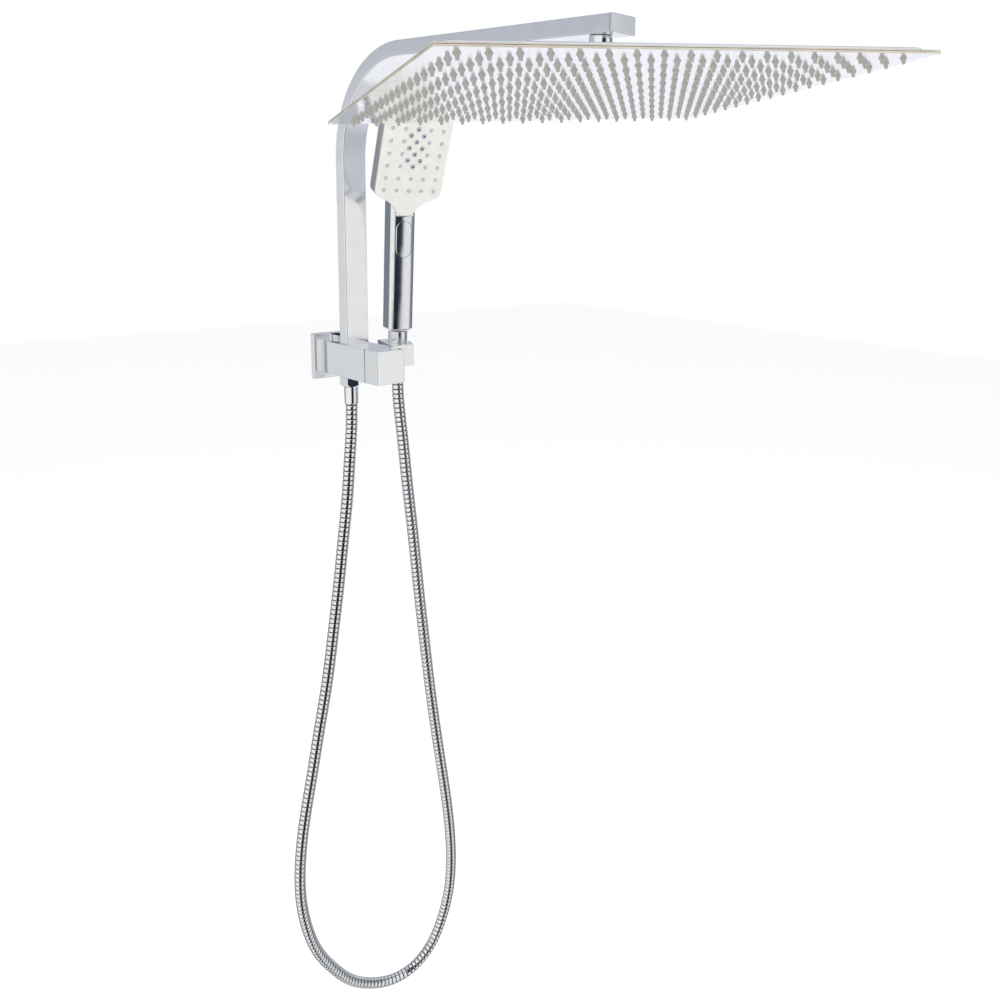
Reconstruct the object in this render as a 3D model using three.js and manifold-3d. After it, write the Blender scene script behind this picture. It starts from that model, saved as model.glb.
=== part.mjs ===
// Wall-mounted rainfall shower column: square swivelling head on a flat gooseneck arm, wall bracket
// with a front diverter, and a push-button handset on a free-hanging hose.
// Millimetres, +Z up. The wall is the plane Y = 0, the inlet axis is Z = 0, the front faces -Y.
import * as THREE from 'three';
import { mergeGeometries, mergeVertices } from 'three/addons/utils/BufferGeometryUtils.js';
import Module from 'manifold-3d';

const wasm = await Module();
wasm.setup();

// ---- driving dimensions -------------------------------------------------------------------
const GAP = 0.3;            // clearance between touching pieces
const EDGE = 0.8;           // small edge chamfer on solid metal pieces

const PLATE_SIZE = 56, PLATE_T = 8;                      // wall plate
const BODY_W = 38, BODY_H = 40, BODY_FRONT = 102.85;     // bracket body, front face distance
const BODY_REAR_R = 10;                                  // rounded rear corners, in plan
const INLET_R = 10.2, INLET_BORE = 7.2, INLET_LEN = 21;  // inlet connector
const WATER_R = 6;                                       // waterway through the body

const TUBE_W = 30, TUBE_T = 16, TUBE_WALL = 1.3, TUBE_EDGE = 1.2;   // gooseneck tube section
const RISER_Y = -52, ARM_TOP = 362, ARM_END = 487, BEND_R = 125;    // axis, top, end, outer bend
const SOCKET_D = 12, SEAL_T = 2;                         // riser socket depth and its seal
const CAP_T = 2.7, CAP_PLUG = 8;                         // arm end cap
const OUTLET_BACK = 28;                                  // arm end to outlet axis

const NUT_WALL = 1.4, NIPPLE_R = 7.6, NIPPLE_DROP = 11.5;           // swivel connector
const BALL_Z = 325, BALL_R = 8.2, NECK_R = 4.4, STUD_R = 6.2;
const SEAT_WALL = 0.6, LIP_CLEAR = 1.26;                 // ball seat, and the nut's lip round the ball
const HEAD_YAW = -22.2, HEAD_TILT = -3.9, HEAD_ROLL = -4.6;         // rest attitude, degrees

const HEAD = 416, HEAD_DROP = 28, SHEET = 1, FACE_T = 1.7;          // head plate, under the ball
const CHAMBER_MARGIN = 7, CHAMBER_H = 5, BOSS_R = 11, BOSS_H = 7.7;
const NOZZLES = 18, NOZZLE_PITCH = 22, WINDOW_HALF = 190.5;
const NOZZLE_BASE = 2.2, NOZZLE_TIP = 0.9, NOZZLE_LEN = 5, MAT_T = 1;

const KNOB_L = 24.85, CARTRIDGE_R = 12, CARTRIDGE_L = 18.2, SPINDLE_R = 4.25;   // diverter
const RUNNING = 0.05;                                    // radial clearance of the spindle
const SPINDLE_REACH = 15;                                // spindle length inside the knob

const HOSE_Y = -43, HOSE_R = 7, OUTLET_R = 8;            // hose outlet under the body
const HEX_R = 13.4, HEX_H = 12, HEX_TURN = 9, FERRULE_R = 8.1, FERRULE_L = 22.2;

const HOLDER_TOP = 20.5, HOLDER_BOTTOM = -5.5;           // handset holder
const SEAT_X = 48.5, SEAT_Y = -72, SLOT_W = 15.5;
const HOLDER_YAW = -11, HANDSET_LEAN = 4.5;              // handset attitude, degrees

const CONE_R = 11.9, CONE_TIP_R = 10.2, CONE_UP = 14, CONE_DOWN = 22;           // cone nut
const HANDLE_W = 31, HANDLE_D = 25, HANDLE_TOP = 186, HANDLE_BORE = 6.5,
  HANDLE_BOW = 6, HANDLE_BEVEL = 2.8;
const FACE_HALF = 41.5, FACE_H = 132, FACE_PLATE = 1.8, PADDLE_T = 18, PADDLE_TILT = 18.5;
const PADDLE_Z = 156;                                    // lower tip of the spray face
const ROW_PITCH = 15, COL_PITCH = 15.5, ROW_START = 31, ROWS = 7, COLS = 5;
const BUTTON_W = 20.5, BUTTON_H = 43, BUTTON_T = 4, BUTTON_Z = 127.5, BUTTON_TRAVEL = 1.5;

// Centreline of the hanging hose, from the lower ferrule to the upper one.
const HOSE_ROUTE = [
  [0, -43, -57.6], [-0.4, -43, -80], [-3, -42, -120], [-7, -40.5, -175], [-13, -39, -228],
  [-20, -37, -290], [-28, -35, -351], [-37, -33, -415], [-48, -30, -478], [-60, -27.5, -545],
  [-71, -25.5, -605], [-78, -25, -660], [-79, -25, -705], [-72, -26, -757], [-57, -27, -803],
  [-37, -28, -838], [-12, -29.5, -871], [18, -32, -894], [50, -36, -906], [80, -40, -904],
  [106, -45, -885], [124, -50, -850], [134, -56, -803], [134, -63, -745], [127, -69, -685],
  [117, -72, -620], [104, -73, -540], [93, -73.5, -465], [83, -74, -385], [74, -74, -305],
  [66, -73.5, -225], [59, -72, -155], [54, -70.2, -95], [50.6, -68.2, -50], [48.95, -69.7, -10],
];

// ---- materials ----------------------------------------------------------------------------
const look = (color, metalness, roughness) =>
  new THREE.MeshStandardMaterial({ color, metalness, roughness });
const chrome = look(0xdfe1e4, 1, 0.08), steel = look(0xe6e6ee, 1, 0.18), brass = look(0xb99a55, 1, 0.35);
const rubber = look(0x1d1d1f, 0, 0.8), silicone = look(0xb9b5ad, 0, 0.6), plastic = look(0x2b2d30, 0, 0.5);
const cream = look(0xebebe4, 0.2, 0.25), blue = look(0x7fa0c8, 0, 0.3), ceramic = look(0xd8d6cf, 0, 0.5);

// ---- solid helpers ------------------------------------------------------------------------
// A closed geometry as a solid: vertices merged, slivers dropped, faces turned outwards.
function solid(geometry) {
  const g = geometry.index ? geometry.clone() : geometry;
  for (const name of Object.keys(g.attributes)) if (name !== 'position') g.deleteAttribute(name);
  const m = mergeVertices(g, 1e-4), p = m.attributes.position.array, tris = [];
  let volume = 0;
  for (let i = 0; i < m.index.count; i += 3) {
    const [a, b, c] = [0, 1, 2].map((k) => m.index.getX(i + k));
    if (a === b || b === c || c === a) continue;
    tris.push(a, b, c);
    const [A, B, C] = [a, b, c].map((k) => new THREE.Vector3().fromArray(p, 3 * k));
    volume += A.dot(B.cross(C));
  }
  if (volume < 0) for (let i = 0; i < tris.length; i += 3) [tris[i], tris[i + 1]] = [tris[i + 1], tris[i]];
  const mesh = new wasm.Mesh({
    numProp: 3, vertProperties: new Float32Array(p), triVerts: new Uint32Array(tris),
  });
  return new wasm.Manifold(mesh);
}
const place = (g, matrix) => { g.applyMatrix4(matrix); return g; };
const join = (first, ...rest) => rest.reduce((a, b) => a.add(b), first);
const cut = (first, ...rest) => rest.reduce((a, b) => a.subtract(b), first);

// Box from its two corners.
function box(x0, x1, y0, y1, z0, z1) {
  const g = new THREE.BoxGeometry(x1 - x0, y1 - y0, z1 - z0);
  return solid(g.translate((x0 + x1) / 2, (y0 + y1) / 2, (z0 + z1) / 2));
}
// Solid of revolution about Z from [radius, z] pairs that start and end on the axis or close.
function turned(profile, sides = 16) {
  const pts = profile.map(([r, z]) => new THREE.Vector2(r, z));
  return solid(new THREE.LatheGeometry(pts, sides).rotateX(Math.PI / 2));
}
const rod = (r, z0, z1, sides = 16) => turned([[0, z0], [r, z0], [r, z1], [0, z1]], sides);
const tubeOf = (r, bore, z0, z1, sides = 16) =>
  turned([[bore, z0], [r, z0], [r, z1], [bore, z1], [bore, z0]], sides);
// Turn a solid built along +Z so that it runs along -Y or +X.
const alongY = (s) => s.rotate([90, 0, 0]);
const alongX = (s) => s.rotate([0, 90, 0]);

// Prism of a closed outline in XY, chamfered at both ends, between z0 and z1.
function prism(outline, z0, z1, chamfer = 0, holes = []) {
  const shape = new THREE.Shape(outline.map(([x, y]) => new THREE.Vector2(x, y)));
  for (const h of holes) shape.holes.push(new THREE.Path(h.map(([x, y]) => new THREE.Vector2(x, y))));
  const g = new THREE.ExtrudeGeometry(shape, {
    depth: z1 - z0 - 2 * chamfer, steps: 1, bevelEnabled: chamfer > 0,
    bevelThickness: chamfer, bevelSize: chamfer, bevelOffset: -chamfer, bevelSegments: 1,
  });
  return solid(g.translate(0, 0, z0 + chamfer));
}
// Rectangle outline centred on (0, 0) with corner radii [right-front, right-back, left-back, left-front].
function rect(w, h, radii = [0, 0, 0, 0], segments = 6) {
  const corners = [[1, -1, -90], [1, 1, 0], [-1, 1, 90], [-1, -1, 180]], out = [];
  corners.forEach(([sx, sy, start], k) => {
    const r = radii[k], n = r > 2 ? segments : r > 0 ? 1 : 0;
    for (let i = 0; i <= n; i++) {
      const a = THREE.MathUtils.degToRad(start + (n ? (90 * i) / n : 0));
      out.push([sx * (w / 2 - r) + r * Math.cos(a), sy * (h / 2 - r) + r * Math.sin(a)]);
    }
  });
  return out;
}

// A path that gives exactly its own stations, so that straight runs take one step.
class Stations extends THREE.Curve {
  constructor(points) { super(); this.points = points; }
  getPointAt(u) {
    const t = u * (this.points.length - 1), i = Math.min(Math.floor(t), this.points.length - 2);
    return this.points[i].clone().lerp(this.points[i + 1], t - i);
  }
  getPoint(u) { return this.getPointAt(u); }
  getTangentAt(u) {
    const n = this.points.length - 1, i = Math.round(u * n);
    const a = this.points[Math.max(i - 1, 0)], b = this.points[Math.min(i + 1, n)];
    const before = this.points[i].clone().sub(a).normalize();
    return b.clone().sub(this.points[i]).normalize().add(before).normalize();
  }
  getTangent(u) { return this.getTangentAt(u); }
}
const sweep = (shape, points) => solid(new THREE.ExtrudeGeometry(shape, {
  steps: points.length - 1, extrudePath: new Stations(points), bevelEnabled: false,
}));

// ---- scene graph --------------------------------------------------------------------------
const column = new THREE.Group();
const headGroup = new THREE.Group(), handset = new THREE.Group(), paddle = new THREE.Group();
column.add(headGroup, handset);
handset.add(paddle);
const rad = THREE.MathUtils.degToRad;
headGroup.position.set(0, -(ARM_END - OUTLET_BACK), BALL_Z);
headGroup.rotation.set(rad(HEAD_TILT), rad(HEAD_ROLL), rad(HEAD_YAW), 'ZXY');
handset.position.set(SEAT_X, SEAT_Y, HOLDER_TOP);
handset.rotation.set(rad(HANDSET_LEAN), 0, rad(HOLDER_YAW), 'ZXY');
paddle.position.set(0, -HANDLE_D / 2, PADDLE_Z);
paddle.rotation.set(rad(PADDLE_TILT), 0, 0);

function add(name, material, body, group = column) {
  const { vertProperties, triVerts } = body.getMesh();
  const g = new THREE.BufferGeometry();
  g.setAttribute('position', new THREE.BufferAttribute(new Float32Array(vertProperties), 3));
  g.setIndex(new THREE.BufferAttribute(new Uint32Array(triVerts), 1));
  g.computeVertexNormals();
  const mesh = new THREE.Mesh(g, material);
  mesh.name = name;
  group.add(mesh);
}

// ---- wall plate and inlet -----------------------------------------------------------------
const backFace = -PLATE_T - GAP;                        // rear of the body, against the plate
const inletEnd = -1 - INLET_LEN, washerEnd = inletEnd - GAP - SEAL_T;
add('wall_plate', chrome, cut(
  prism(rect(PLATE_SIZE, PLATE_SIZE), 0, PLATE_T, EDGE), rod(INLET_R + 0.5, -1, PLATE_T + 1),
).rotate([90, 0, 0]));
add('inlet_connector', brass, alongY(tubeOf(INLET_R, INLET_BORE, 1, 1 + INLET_LEN)));
add('inlet_washer', rubber, alongY(tubeOf(INLET_R, WATER_R + 0.5, -inletEnd + GAP, -washerEnd)));

// ---- bracket body -------------------------------------------------------------------------
const bodyMid = (backFace - BODY_FRONT) / 2, bodyLen = BODY_FRONT + backFace;
const socketFloor = BODY_H / 2 - SOCKET_D;
const cartridgeRear = -(BODY_FRONT - GAP - CARTRIDGE_L), sealRear = cartridgeRear + GAP + SEAL_T;
const nippleTop = -9;
const bodyPlan = rect(BODY_W, bodyLen, [0, BODY_REAR_R, BODY_REAR_R, 0]).map(([x, y]) => [x, y + bodyMid]);
const grubZ = (socketFloor + BODY_H / 2) / 2;
add('bracket_body', chrome, cut(
  prism(bodyPlan, -BODY_H / 2, BODY_H / 2, EDGE * 0.6),
  alongY(rod(INLET_R + 0.4, 0, -washerEnd + GAP)),
  alongY(rod(WATER_R, 10, -sealRear + 1)),
  box(-TUBE_W / 2 - GAP, TUBE_W / 2 + GAP, RISER_Y - TUBE_T / 2 - GAP, RISER_Y + TUBE_T / 2 + GAP,
    socketFloor, BODY_H),
  rod(WATER_R - 1, 0, socketFloor + 1).translate([0, RISER_Y, 0]),
  alongY(rod(CARTRIDGE_R + GAP, -sealRear - GAP, BODY_FRONT + 1)),
  rod(OUTLET_R + GAP, -BODY_H, nippleTop + GAP).translate([0, HOSE_Y, 0]),
  rod(4.5, nippleTop, 0).translate([0, HOSE_Y, 0]),
  alongX(rod(2.6, TUBE_W / 2, BODY_W)).translate([0, RISER_Y, grubZ]),
  alongX(rod(3.3, 12.5, BODY_W)).translate([0, -92, 1]),
));
add('riser_grub_screw', plastic, cut(
  alongX(rod(2.3, TUBE_W / 2 + GAP, BODY_W / 2 - 0.4, 16)),
  alongX(rod(1.2, TUBE_W / 2 + 1.8, BODY_W, 6)),
).translate([0, RISER_Y, grubZ]));

// ---- gooseneck riser ----------------------------------------------------------------------
const sealTop = socketFloor + GAP + SEAL_T, riserFoot = sealTop + GAP;
const section = (w, t, e) => rect(t, w, [e, e, e, e]).map(([x, y]) => new THREE.Vector2(x, y));
const tubeShape = new THREE.Shape(section(TUBE_W, TUBE_T, TUBE_EDGE));
tubeShape.holes.push(new THREE.Path(section(TUBE_W - 2 * TUBE_WALL, TUBE_T - 2 * TUBE_WALL, 0)));
const bendMid = BEND_R - TUBE_T / 2, bendZ = ARM_TOP - BEND_R, bendY = RISER_Y - bendMid, spine = [];
spine.push(new THREE.Vector3(0, RISER_Y, riserFoot));
for (let i = 0; i <= 14; i++) {
  const a = rad((90 * i) / 14);
  spine.push(new THREE.Vector3(0, bendY + bendMid * Math.cos(a), bendZ + bendMid * Math.sin(a)));
}
const tubeEnd = -(ARM_END - CAP_T - GAP), armMid = ARM_TOP - TUBE_T / 2, armUnder = ARM_TOP - TUBE_T;
spine.push(new THREE.Vector3(0, tubeEnd, armMid));
const outletY = -(ARM_END - OUTLET_BACK);
add('riser_arm', chrome, cut(
  sweep(tubeShape, spine),
  rod(NIPPLE_R + GAP, armUnder - 3, armUnder + TUBE_WALL + 1).translate([0, outletY, 0]),
));
add('riser_seal', rubber, prism(
  rect(TUBE_W, TUBE_T).map(([x, y]) => [x, y + RISER_Y]), socketFloor + GAP, sealTop, 0,
  [rect(TUBE_W - 8, TUBE_T - 6).map(([x, y]) => [x, y + RISER_Y])],
));
const plugGap = TUBE_WALL + GAP;
add('arm_end_cap', chrome, join(
  prism(rect(TUBE_W, TUBE_T, [TUBE_EDGE, TUBE_EDGE, TUBE_EDGE, TUBE_EDGE]), 0, CAP_T, 0.5),
  prism(rect(TUBE_W - 2 * plugGap, TUBE_T - 2 * plugGap), -CAP_PLUG, 0.6),
).rotate([90, 0, 0]).translate([0, -(ARM_END - CAP_T), armMid]));

// ---- swivel connector ---------------------------------------------------------------------
const flange = armUnder + TUBE_WALL + GAP, nippleEnd = armUnder - NIPPLE_DROP;
const nutBottom = BALL_Z - 7.8, washerTop = nippleEnd - GAP, washerFoot = washerTop - 1;
const lipTopZ = nutBottom + 2.6, seatR = BALL_R + GAP, seatOuter = seatR + SEAT_WALL;
const nutBore = seatOuter + GAP, nutR = nutBore + NUT_WALL;
const lipR = Math.sqrt(BALL_R ** 2 - (BALL_Z - lipTopZ) ** 2) + LIP_CLEAR;
add('arm_nipple', brass, turned([
  [5, nippleEnd], [NIPPLE_R, nippleEnd], [NIPPLE_R, flange], [9.5, flange], [9.5, flange + 2],
  [5, flange + 2], [5, nippleEnd],
]).translate([0, outletY, 0]));
add('swivel_nut', chrome, turned([
  [NIPPLE_R + GAP, armUnder - GAP], [NIPPLE_R + GAP, nippleEnd + 0.8], [nutBore, nippleEnd + 0.8],
  [nutBore, lipTopZ], [lipR, lipTopZ], [lipR, nutBottom], [nutR - 0.6, nutBottom],
  [nutR, nutBottom + 0.6], [nutR, armUnder - GAP], [NIPPLE_R + GAP, armUnder - GAP],
], 24).translate([0, outletY, 0]));
add('swivel_washer', rubber,
  tubeOf(nutBore - 0.4, 5, washerFoot, washerTop).translate([0, outletY, 0]));
const seatPoint = (h) => [Math.sqrt(seatR * seatR - h * h), BALL_Z + h];
add('ball_seat', plastic, turned([
  seatPoint(0.8), [seatOuter, BALL_Z + 0.8], [seatOuter, washerFoot - GAP],
  seatPoint(washerFoot - GAP - BALL_Z),
  seatPoint(5.2), seatPoint(3.6), seatPoint(2.2), seatPoint(0.8),
]).translate([0, outletY, 0]));

// ---- rain head, in the frame of its ball --------------------------------------------------
const ballPoint = (h) => [Math.sqrt(BALL_R * BALL_R - h * h), h];
const chamberTop = -HEAD_DROP + FACE_T + GAP + SHEET + CHAMBER_H - 1, bossFoot = chamberTop + GAP;
const bossTop = bossFoot + BOSS_H;
add('ball_stud', chrome, turned([
  [3, 5.5], ballPoint(5.5), ballPoint(3.5), ballPoint(1.2), ballPoint(-1.2), ballPoint(-3.5),
  [NECK_R, -6.9], [NECK_R, bossTop + 1.2], [STUD_R, bossTop + 1.2], [STUD_R, bossFoot + 0.6],
  [3, bossFoot + 0.6], [3, 5.5],
]), headGroup);
add('head_boss', chrome, tubeOf(BOSS_R, STUD_R + GAP, bossFoot, bossTop, 24), headGroup);
const rimFoot = -HEAD_DROP + FACE_T + GAP, chamber = HEAD - 2 * CHAMBER_MARGIN;
add('head_top', steel, cut(
  join(prism(rect(HEAD, HEAD), rimFoot, rimFoot + SHEET),
    prism(rect(chamber, chamber), rimFoot, chamberTop)),
  prism(rect(chamber - 2 * SHEET, chamber - 2 * SHEET), rimFoot - 1, chamberTop - SHEET),
  rod(5, rimFoot, chamberTop + 1),
), headGroup);
const grid = [];
for (let i = 0; i < NOZZLES; i++) for (let j = 0; j < NOZZLES; j++) {
  grid.push([(i - (NOZZLES - 1) / 2) * NOZZLE_PITCH, (j - (NOZZLES - 1) / 2) * NOZZLE_PITCH]);
}
add('head_face', steel, prism(rect(HEAD, HEAD), -HEAD_DROP, -HEAD_DROP + FACE_T, 0,
  [rect(2 * WINDOW_HALF, 2 * WINDOW_HALF)]), headGroup);
// A sheet with a square hole at each spot.
const pierced = (sheet, spots, half, z0, z1) => cut(sheet, solid(mergeGeometries(spots.map(([x, y]) =>
  new THREE.BoxGeometry(2 * half, 2 * half, z1 - z0 + 2).translate(x, y, (z0 + z1) / 2)))));

// Tapered square nozzles pointing down from z1 to z0, joined to the sheet they are moulded with.
function moulded(sheet, spots, base, tip, z0, z1) {
  const one = ([x, y]) => new THREE.CylinderGeometry(base * Math.SQRT2, tip * Math.SQRT2, z1 - z0, 4)
    .rotateX(Math.PI / 2).rotateZ(Math.PI / 4).translate(x, y, (z0 + z1) / 2);
  return join(sheet, solid(mergeGeometries(spots.map(one))));
}
const matFoot = -HEAD_DROP + FACE_T + GAP, matHalf = chamber / 2 - SHEET - GAP;
const insetHalf = WINDOW_HALF - GAP, insetFoot = -HEAD_DROP + 0.2;
add('nozzle_mat', silicone, moulded(
  join(prism(rect(2 * insetHalf, 2 * insetHalf), insetFoot, matFoot + MAT_T),
    prism(rect(2 * matHalf, 2 * matHalf), matFoot, matFoot + MAT_T)),
  grid, NOZZLE_BASE, NOZZLE_TIP, -HEAD_DROP - NOZZLE_LEN, matFoot + MAT_T / 2,
), headGroup);

// ---- front diverter -----------------------------------------------------------------------
const knobRear = BODY_FRONT + GAP, knobFront = knobRear + KNOB_L, spindleEnd = knobRear + SPINDLE_REACH;
const knobScrewY = -(knobRear + SPINDLE_REACH / 2);
add('cartridge_seal', rubber, alongY(tubeOf(CARTRIDGE_R, 7, -sealRear, -sealRear + SEAL_T)));
add('diverter_cartridge', brass, alongY(
  tubeOf(CARTRIDGE_R, SPINDLE_R + RUNNING, -cartridgeRear, BODY_FRONT - GAP, 24)));
add('diverter_spindle', steel, alongY(rod(SPINDLE_R, -cartridgeRear + 2, spindleEnd, 24)));
add('diverter_knob', chrome, cut(
  prism(rect(BODY_W, BODY_H), knobRear, knobFront, EDGE * 0.6),
  rod(SPINDLE_R + GAP, knobRear - 1, spindleEnd + GAP),
  rod(2.2, 0, BODY_H).rotate([90, 0, 0]).translate([0, 0, -knobScrewY]),
).rotate([90, 0, 0]));
add('knob_grub_screw', plastic, cut(
  rod(1.9, -BODY_H / 2 + 1, -SPINDLE_R - GAP, 16), rod(1, -BODY_H, -BODY_H / 2 + 3, 6),
).translate([0, knobScrewY, 0]));

// ---- hose outlet and hose -----------------------------------------------------------------
const bodyFoot = -BODY_H / 2, nippleFoot = bodyFoot - 11, hexTop = bodyFoot - 2.5, hexFoot = hexTop - HEX_H;
const lipTop = hexFoot + 1.3, ferruleTop = hexFoot - GAP;
const atOutlet = (s) => s.translate([0, HOSE_Y, 0]);
add('hose_nipple', brass, atOutlet(turned([
  [4.5, nippleFoot], [9.1, nippleFoot], [9.1, bodyFoot - GAP], [OUTLET_R, bodyFoot - GAP],
  [OUTLET_R, nippleTop], [4.5, nippleTop], [4.5, nippleFoot],
])));
add('hose_washer', rubber, atOutlet(tubeOf(9.1, 5, lipTop + GAP, nippleFoot - GAP)));
add('hose_nut', chrome, atOutlet(cut(
  rod(HEX_R, hexFoot, hexTop, 6).rotate([0, 0, HEX_TURN]), rod(9.4, lipTop, hexTop + 1), rod(7, hexFoot - 1, lipTop + 1),
)));
add('lower_ferrule', chrome, atOutlet(turned([
  [4.5, ferruleTop - FERRULE_L], [FERRULE_R, ferruleTop - FERRULE_L], [FERRULE_R, ferruleTop],
  [6.6, ferruleTop], [6.6, lipTop - GAP], [4.5, lipTop - GAP], [4.5, ferruleTop - FERRULE_L],
])));
const route = new THREE.CatmullRomCurve3(HOSE_ROUTE.map((p) => new THREE.Vector3(...p)));
route.arcLengthDivisions = 2000;
const ring = new THREE.Shape(Array.from({ length: 10 }, (_, i) =>
  new THREE.Vector2(HOSE_R * Math.cos((i * Math.PI) / 5), HOSE_R * Math.sin((i * Math.PI) / 5))));
add('hose', steel, solid(new THREE.ExtrudeGeometry(ring,
  { steps: 56, extrudePath: route, bevelEnabled: false })));

// ---- handset holder -----------------------------------------------------------------------
// The seat is cut by the cone nut's own taper, in the handset's attitude.
const nutTaper = (clear) => [
  [0, -CONE_DOWN - 12], [CONE_TIP_R + clear - 0.8, -CONE_DOWN - 12], [CONE_TIP_R + clear, -CONE_DOWN],
  [CONE_R + clear, 0], [CONE_R + clear, 12], [0, 12],
];
handset.updateMatrix();
const inHandset = (s) => s.transform([...handset.matrix.elements]);
const holderPlan = [
  [BODY_W / 2 + GAP, -BODY_FRONT], [49.5, -BODY_FRONT], [63.5, -76], [63.5, -56], [61, -53.3], [36.5, -46],
];
const slot = SLOT_W / 2;
add('holder', chrome, cut(
  join(prism(holderPlan, HOLDER_BOTTOM, HOLDER_TOP, 0.5),
    box(BODY_W / 2 + GAP, 30, -BODY_FRONT + 4, -84, HOLDER_BOTTOM + 1, HOLDER_TOP - 13)),
  inHandset(turned(nutTaper(GAP + 0.2), 24)),
  box(SEAT_X, 80, SEAT_Y - slot, SEAT_Y + slot, HOLDER_BOTTOM - 5, HOLDER_TOP + 5),
  alongX(rod(3.3, BODY_W / 2 - 1, 26)).translate([0, -92, 1]),
));
add('holder_stud', steel, alongX(rod(3, 13, 25.6, 18)).translate([0, -92, 1]));

// ---- cone nut and handset -----------------------------------------------------------------
const inletFoot = 4, handleFoot = CONE_UP + GAP, coneLip = -CONE_DOWN + 1.5;
add('cone_nut', chrome, turned([
  [9.6, coneLip + 12], [9.6, CONE_UP], [CONE_R, CONE_UP], [CONE_R, 0], [CONE_TIP_R, -CONE_DOWN],
  [7, -CONE_DOWN], [7, coneLip], [8, coneLip], [8, coneLip + 12], [9.6, coneLip + 12],
], 24), handset);
add('upper_ferrule', chrome, turned([
  [4.5, -29.5], [FERRULE_R - 0.3, -29.5], [FERRULE_R - 0.3, -CONE_DOWN - GAP], [6.6, -CONE_DOWN - GAP],
  [6.6, 1], [4.5, 1], [4.5, -29.5],
]), handset);
add('handset_washer', rubber, tubeOf(9.2, 5, 1 + GAP, inletFoot - GAP), handset);
add('handset_inlet', brass, turned([
  [4.8, inletFoot], [9.2, inletFoot], [9.2, handleFoot - GAP], [HANDLE_BORE - GAP, handleFoot - GAP],
  [HANDLE_BORE - GAP, handleFoot + 14], [4.8, handleFoot + 14], [4.8, inletFoot],
]), handset);

// Handle section: flat back and sides, bowed front.
const handlePlan = [[-HANDLE_W / 2 + 2, HANDLE_D / 2], [-HANDLE_W / 2, HANDLE_D / 2 - 2]];
for (let i = 0; i <= 9; i++) {
  const a = rad(180 + 20 * i);
  handlePlan.push([(HANDLE_W / 2) * Math.cos(a), -HANDLE_D / 2 + HANDLE_BOW * (1 + Math.sin(a))]);
}
handlePlan.push([HANDLE_W / 2, HANDLE_D / 2 - 2], [HANDLE_W / 2 - 2, HANDLE_D / 2]);
const paddleOutline = (grow) => {
  const s = FACE_HALF + grow, top = FACE_H + grow, r = 6, t = HANDLE_W / 2 - 6.5 + grow;
  return [
    [t, -1 - grow], [t + 3.5, 3], [t + 7.5, 10], [t + 14, 16.5], [s - 9, 21 - grow], [s - 3, 25], [s, 31],
    [s, top - r], [s - r, top], [-s + r, top], [-s, top - r],
    [-s, 31], [-s + 3, 25], [-s + 9, 21 - grow], [-t - 14, 16.5], [-t - 7.5, 10], [-t - 3.5, 3],
    [-t, -1 - grow],
  ];
};
// Outlines in the paddle are drawn across (X) and along the face (Z), and have depth along +Y.
paddle.updateMatrix();
const inPaddle = (s) => s.transform([...paddle.matrix.elements]);
const slabBack = (outline, y0, y1, chamfer = 0) => prism(outline, -y1, -y0, chamfer).rotate([90, 0, 0]);
const faceBack = FACE_PLATE + GAP;
const pocketHalf = FACE_HALF - 4.5, pocketFoot = 25, pocketTop = FACE_H - 4.5;
const stadium = (w, h, z) => {
  const r = w / 2, out = [];
  for (const s of [1, -1]) for (let i = 0; i <= 6; i++) {
    out.push([s * r * Math.cos(rad(30 * i)), z + s * (h / 2 - r + r * Math.sin(rad(30 * i)))]);
  }
  return out;
};
const handleFront = -HANDLE_D / 2;
add('handset_shell', chrome, cut(
  join(
    prism(handlePlan, handleFoot, HANDLE_TOP, HANDLE_BEVEL),
    inPaddle(slabBack(paddleOutline(0), faceBack, PADDLE_T, 1.2)),
  ),
  inPaddle(box(-60, 60, -80, faceBack, -1.7, FACE_H + 40)),
  inPaddle(slabBack([[-pocketHalf, ROW_START], [-pocketHalf, pocketTop], [pocketHalf, pocketTop],
    [pocketHalf, ROW_START], [30, pocketFoot], [-30, pocketFoot]], 0, 11)),
  rod(HANDLE_BORE, 0, HANDLE_TOP - 14),
  slabBack(stadium(BUTTON_W + 2 * GAP, BUTTON_H + 2 * GAP, BUTTON_Z), -40,
    handleFront + BUTTON_T + BUTTON_TRAVEL + GAP),
), handset);
add('mode_button', chrome, slabBack(stadium(BUTTON_W, BUTTON_H, BUTTON_Z), handleFront - 0.3,
  handleFront + BUTTON_T, 0.4), handset);

// Spray face: a lattice of plain nozzles with a zigzag of massage nozzles in the middle rows.
const plain = [], massage = [];
for (let k = 0; k < ROWS; k++) for (let c = 0; c < COLS; c++) {
  const spot = [(c - (COLS - 1) / 2) * COL_PITCH, ROW_START + k * ROW_PITCH];
  (c === 2 && k >= 2 && k <= 5 ? massage : plain).push(spot);
}
for (let k = 2; k < 5; k++) for (const s of [-1, 1]) {
  massage.push([(s * COL_PITCH) / 2, ROW_START + (k + 0.5) * ROW_PITCH]);
}
const hole = 1.9, tip = 0.8, base = 1.5, matHeight = 1;
add('handset_face', cream, pierced(prism(paddleOutline(-0.6), -FACE_PLATE, 0), [...plain, ...massage],
  hole, -FACE_PLATE, 0).rotate([90, 0, 0]), paddle);
const matBack = faceBack + matHeight, insertHalf = 12;
const insertFoot = ROW_START + 1.55 * ROW_PITCH, insertTop = ROW_START + 5.45 * ROW_PITCH;
const windowLoop = (g) => [[-insertHalf + g, insertFoot + g], [-insertHalf + g, insertTop - g],
  [insertHalf - g, insertTop - g], [insertHalf - g, insertFoot + g]];
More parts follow.
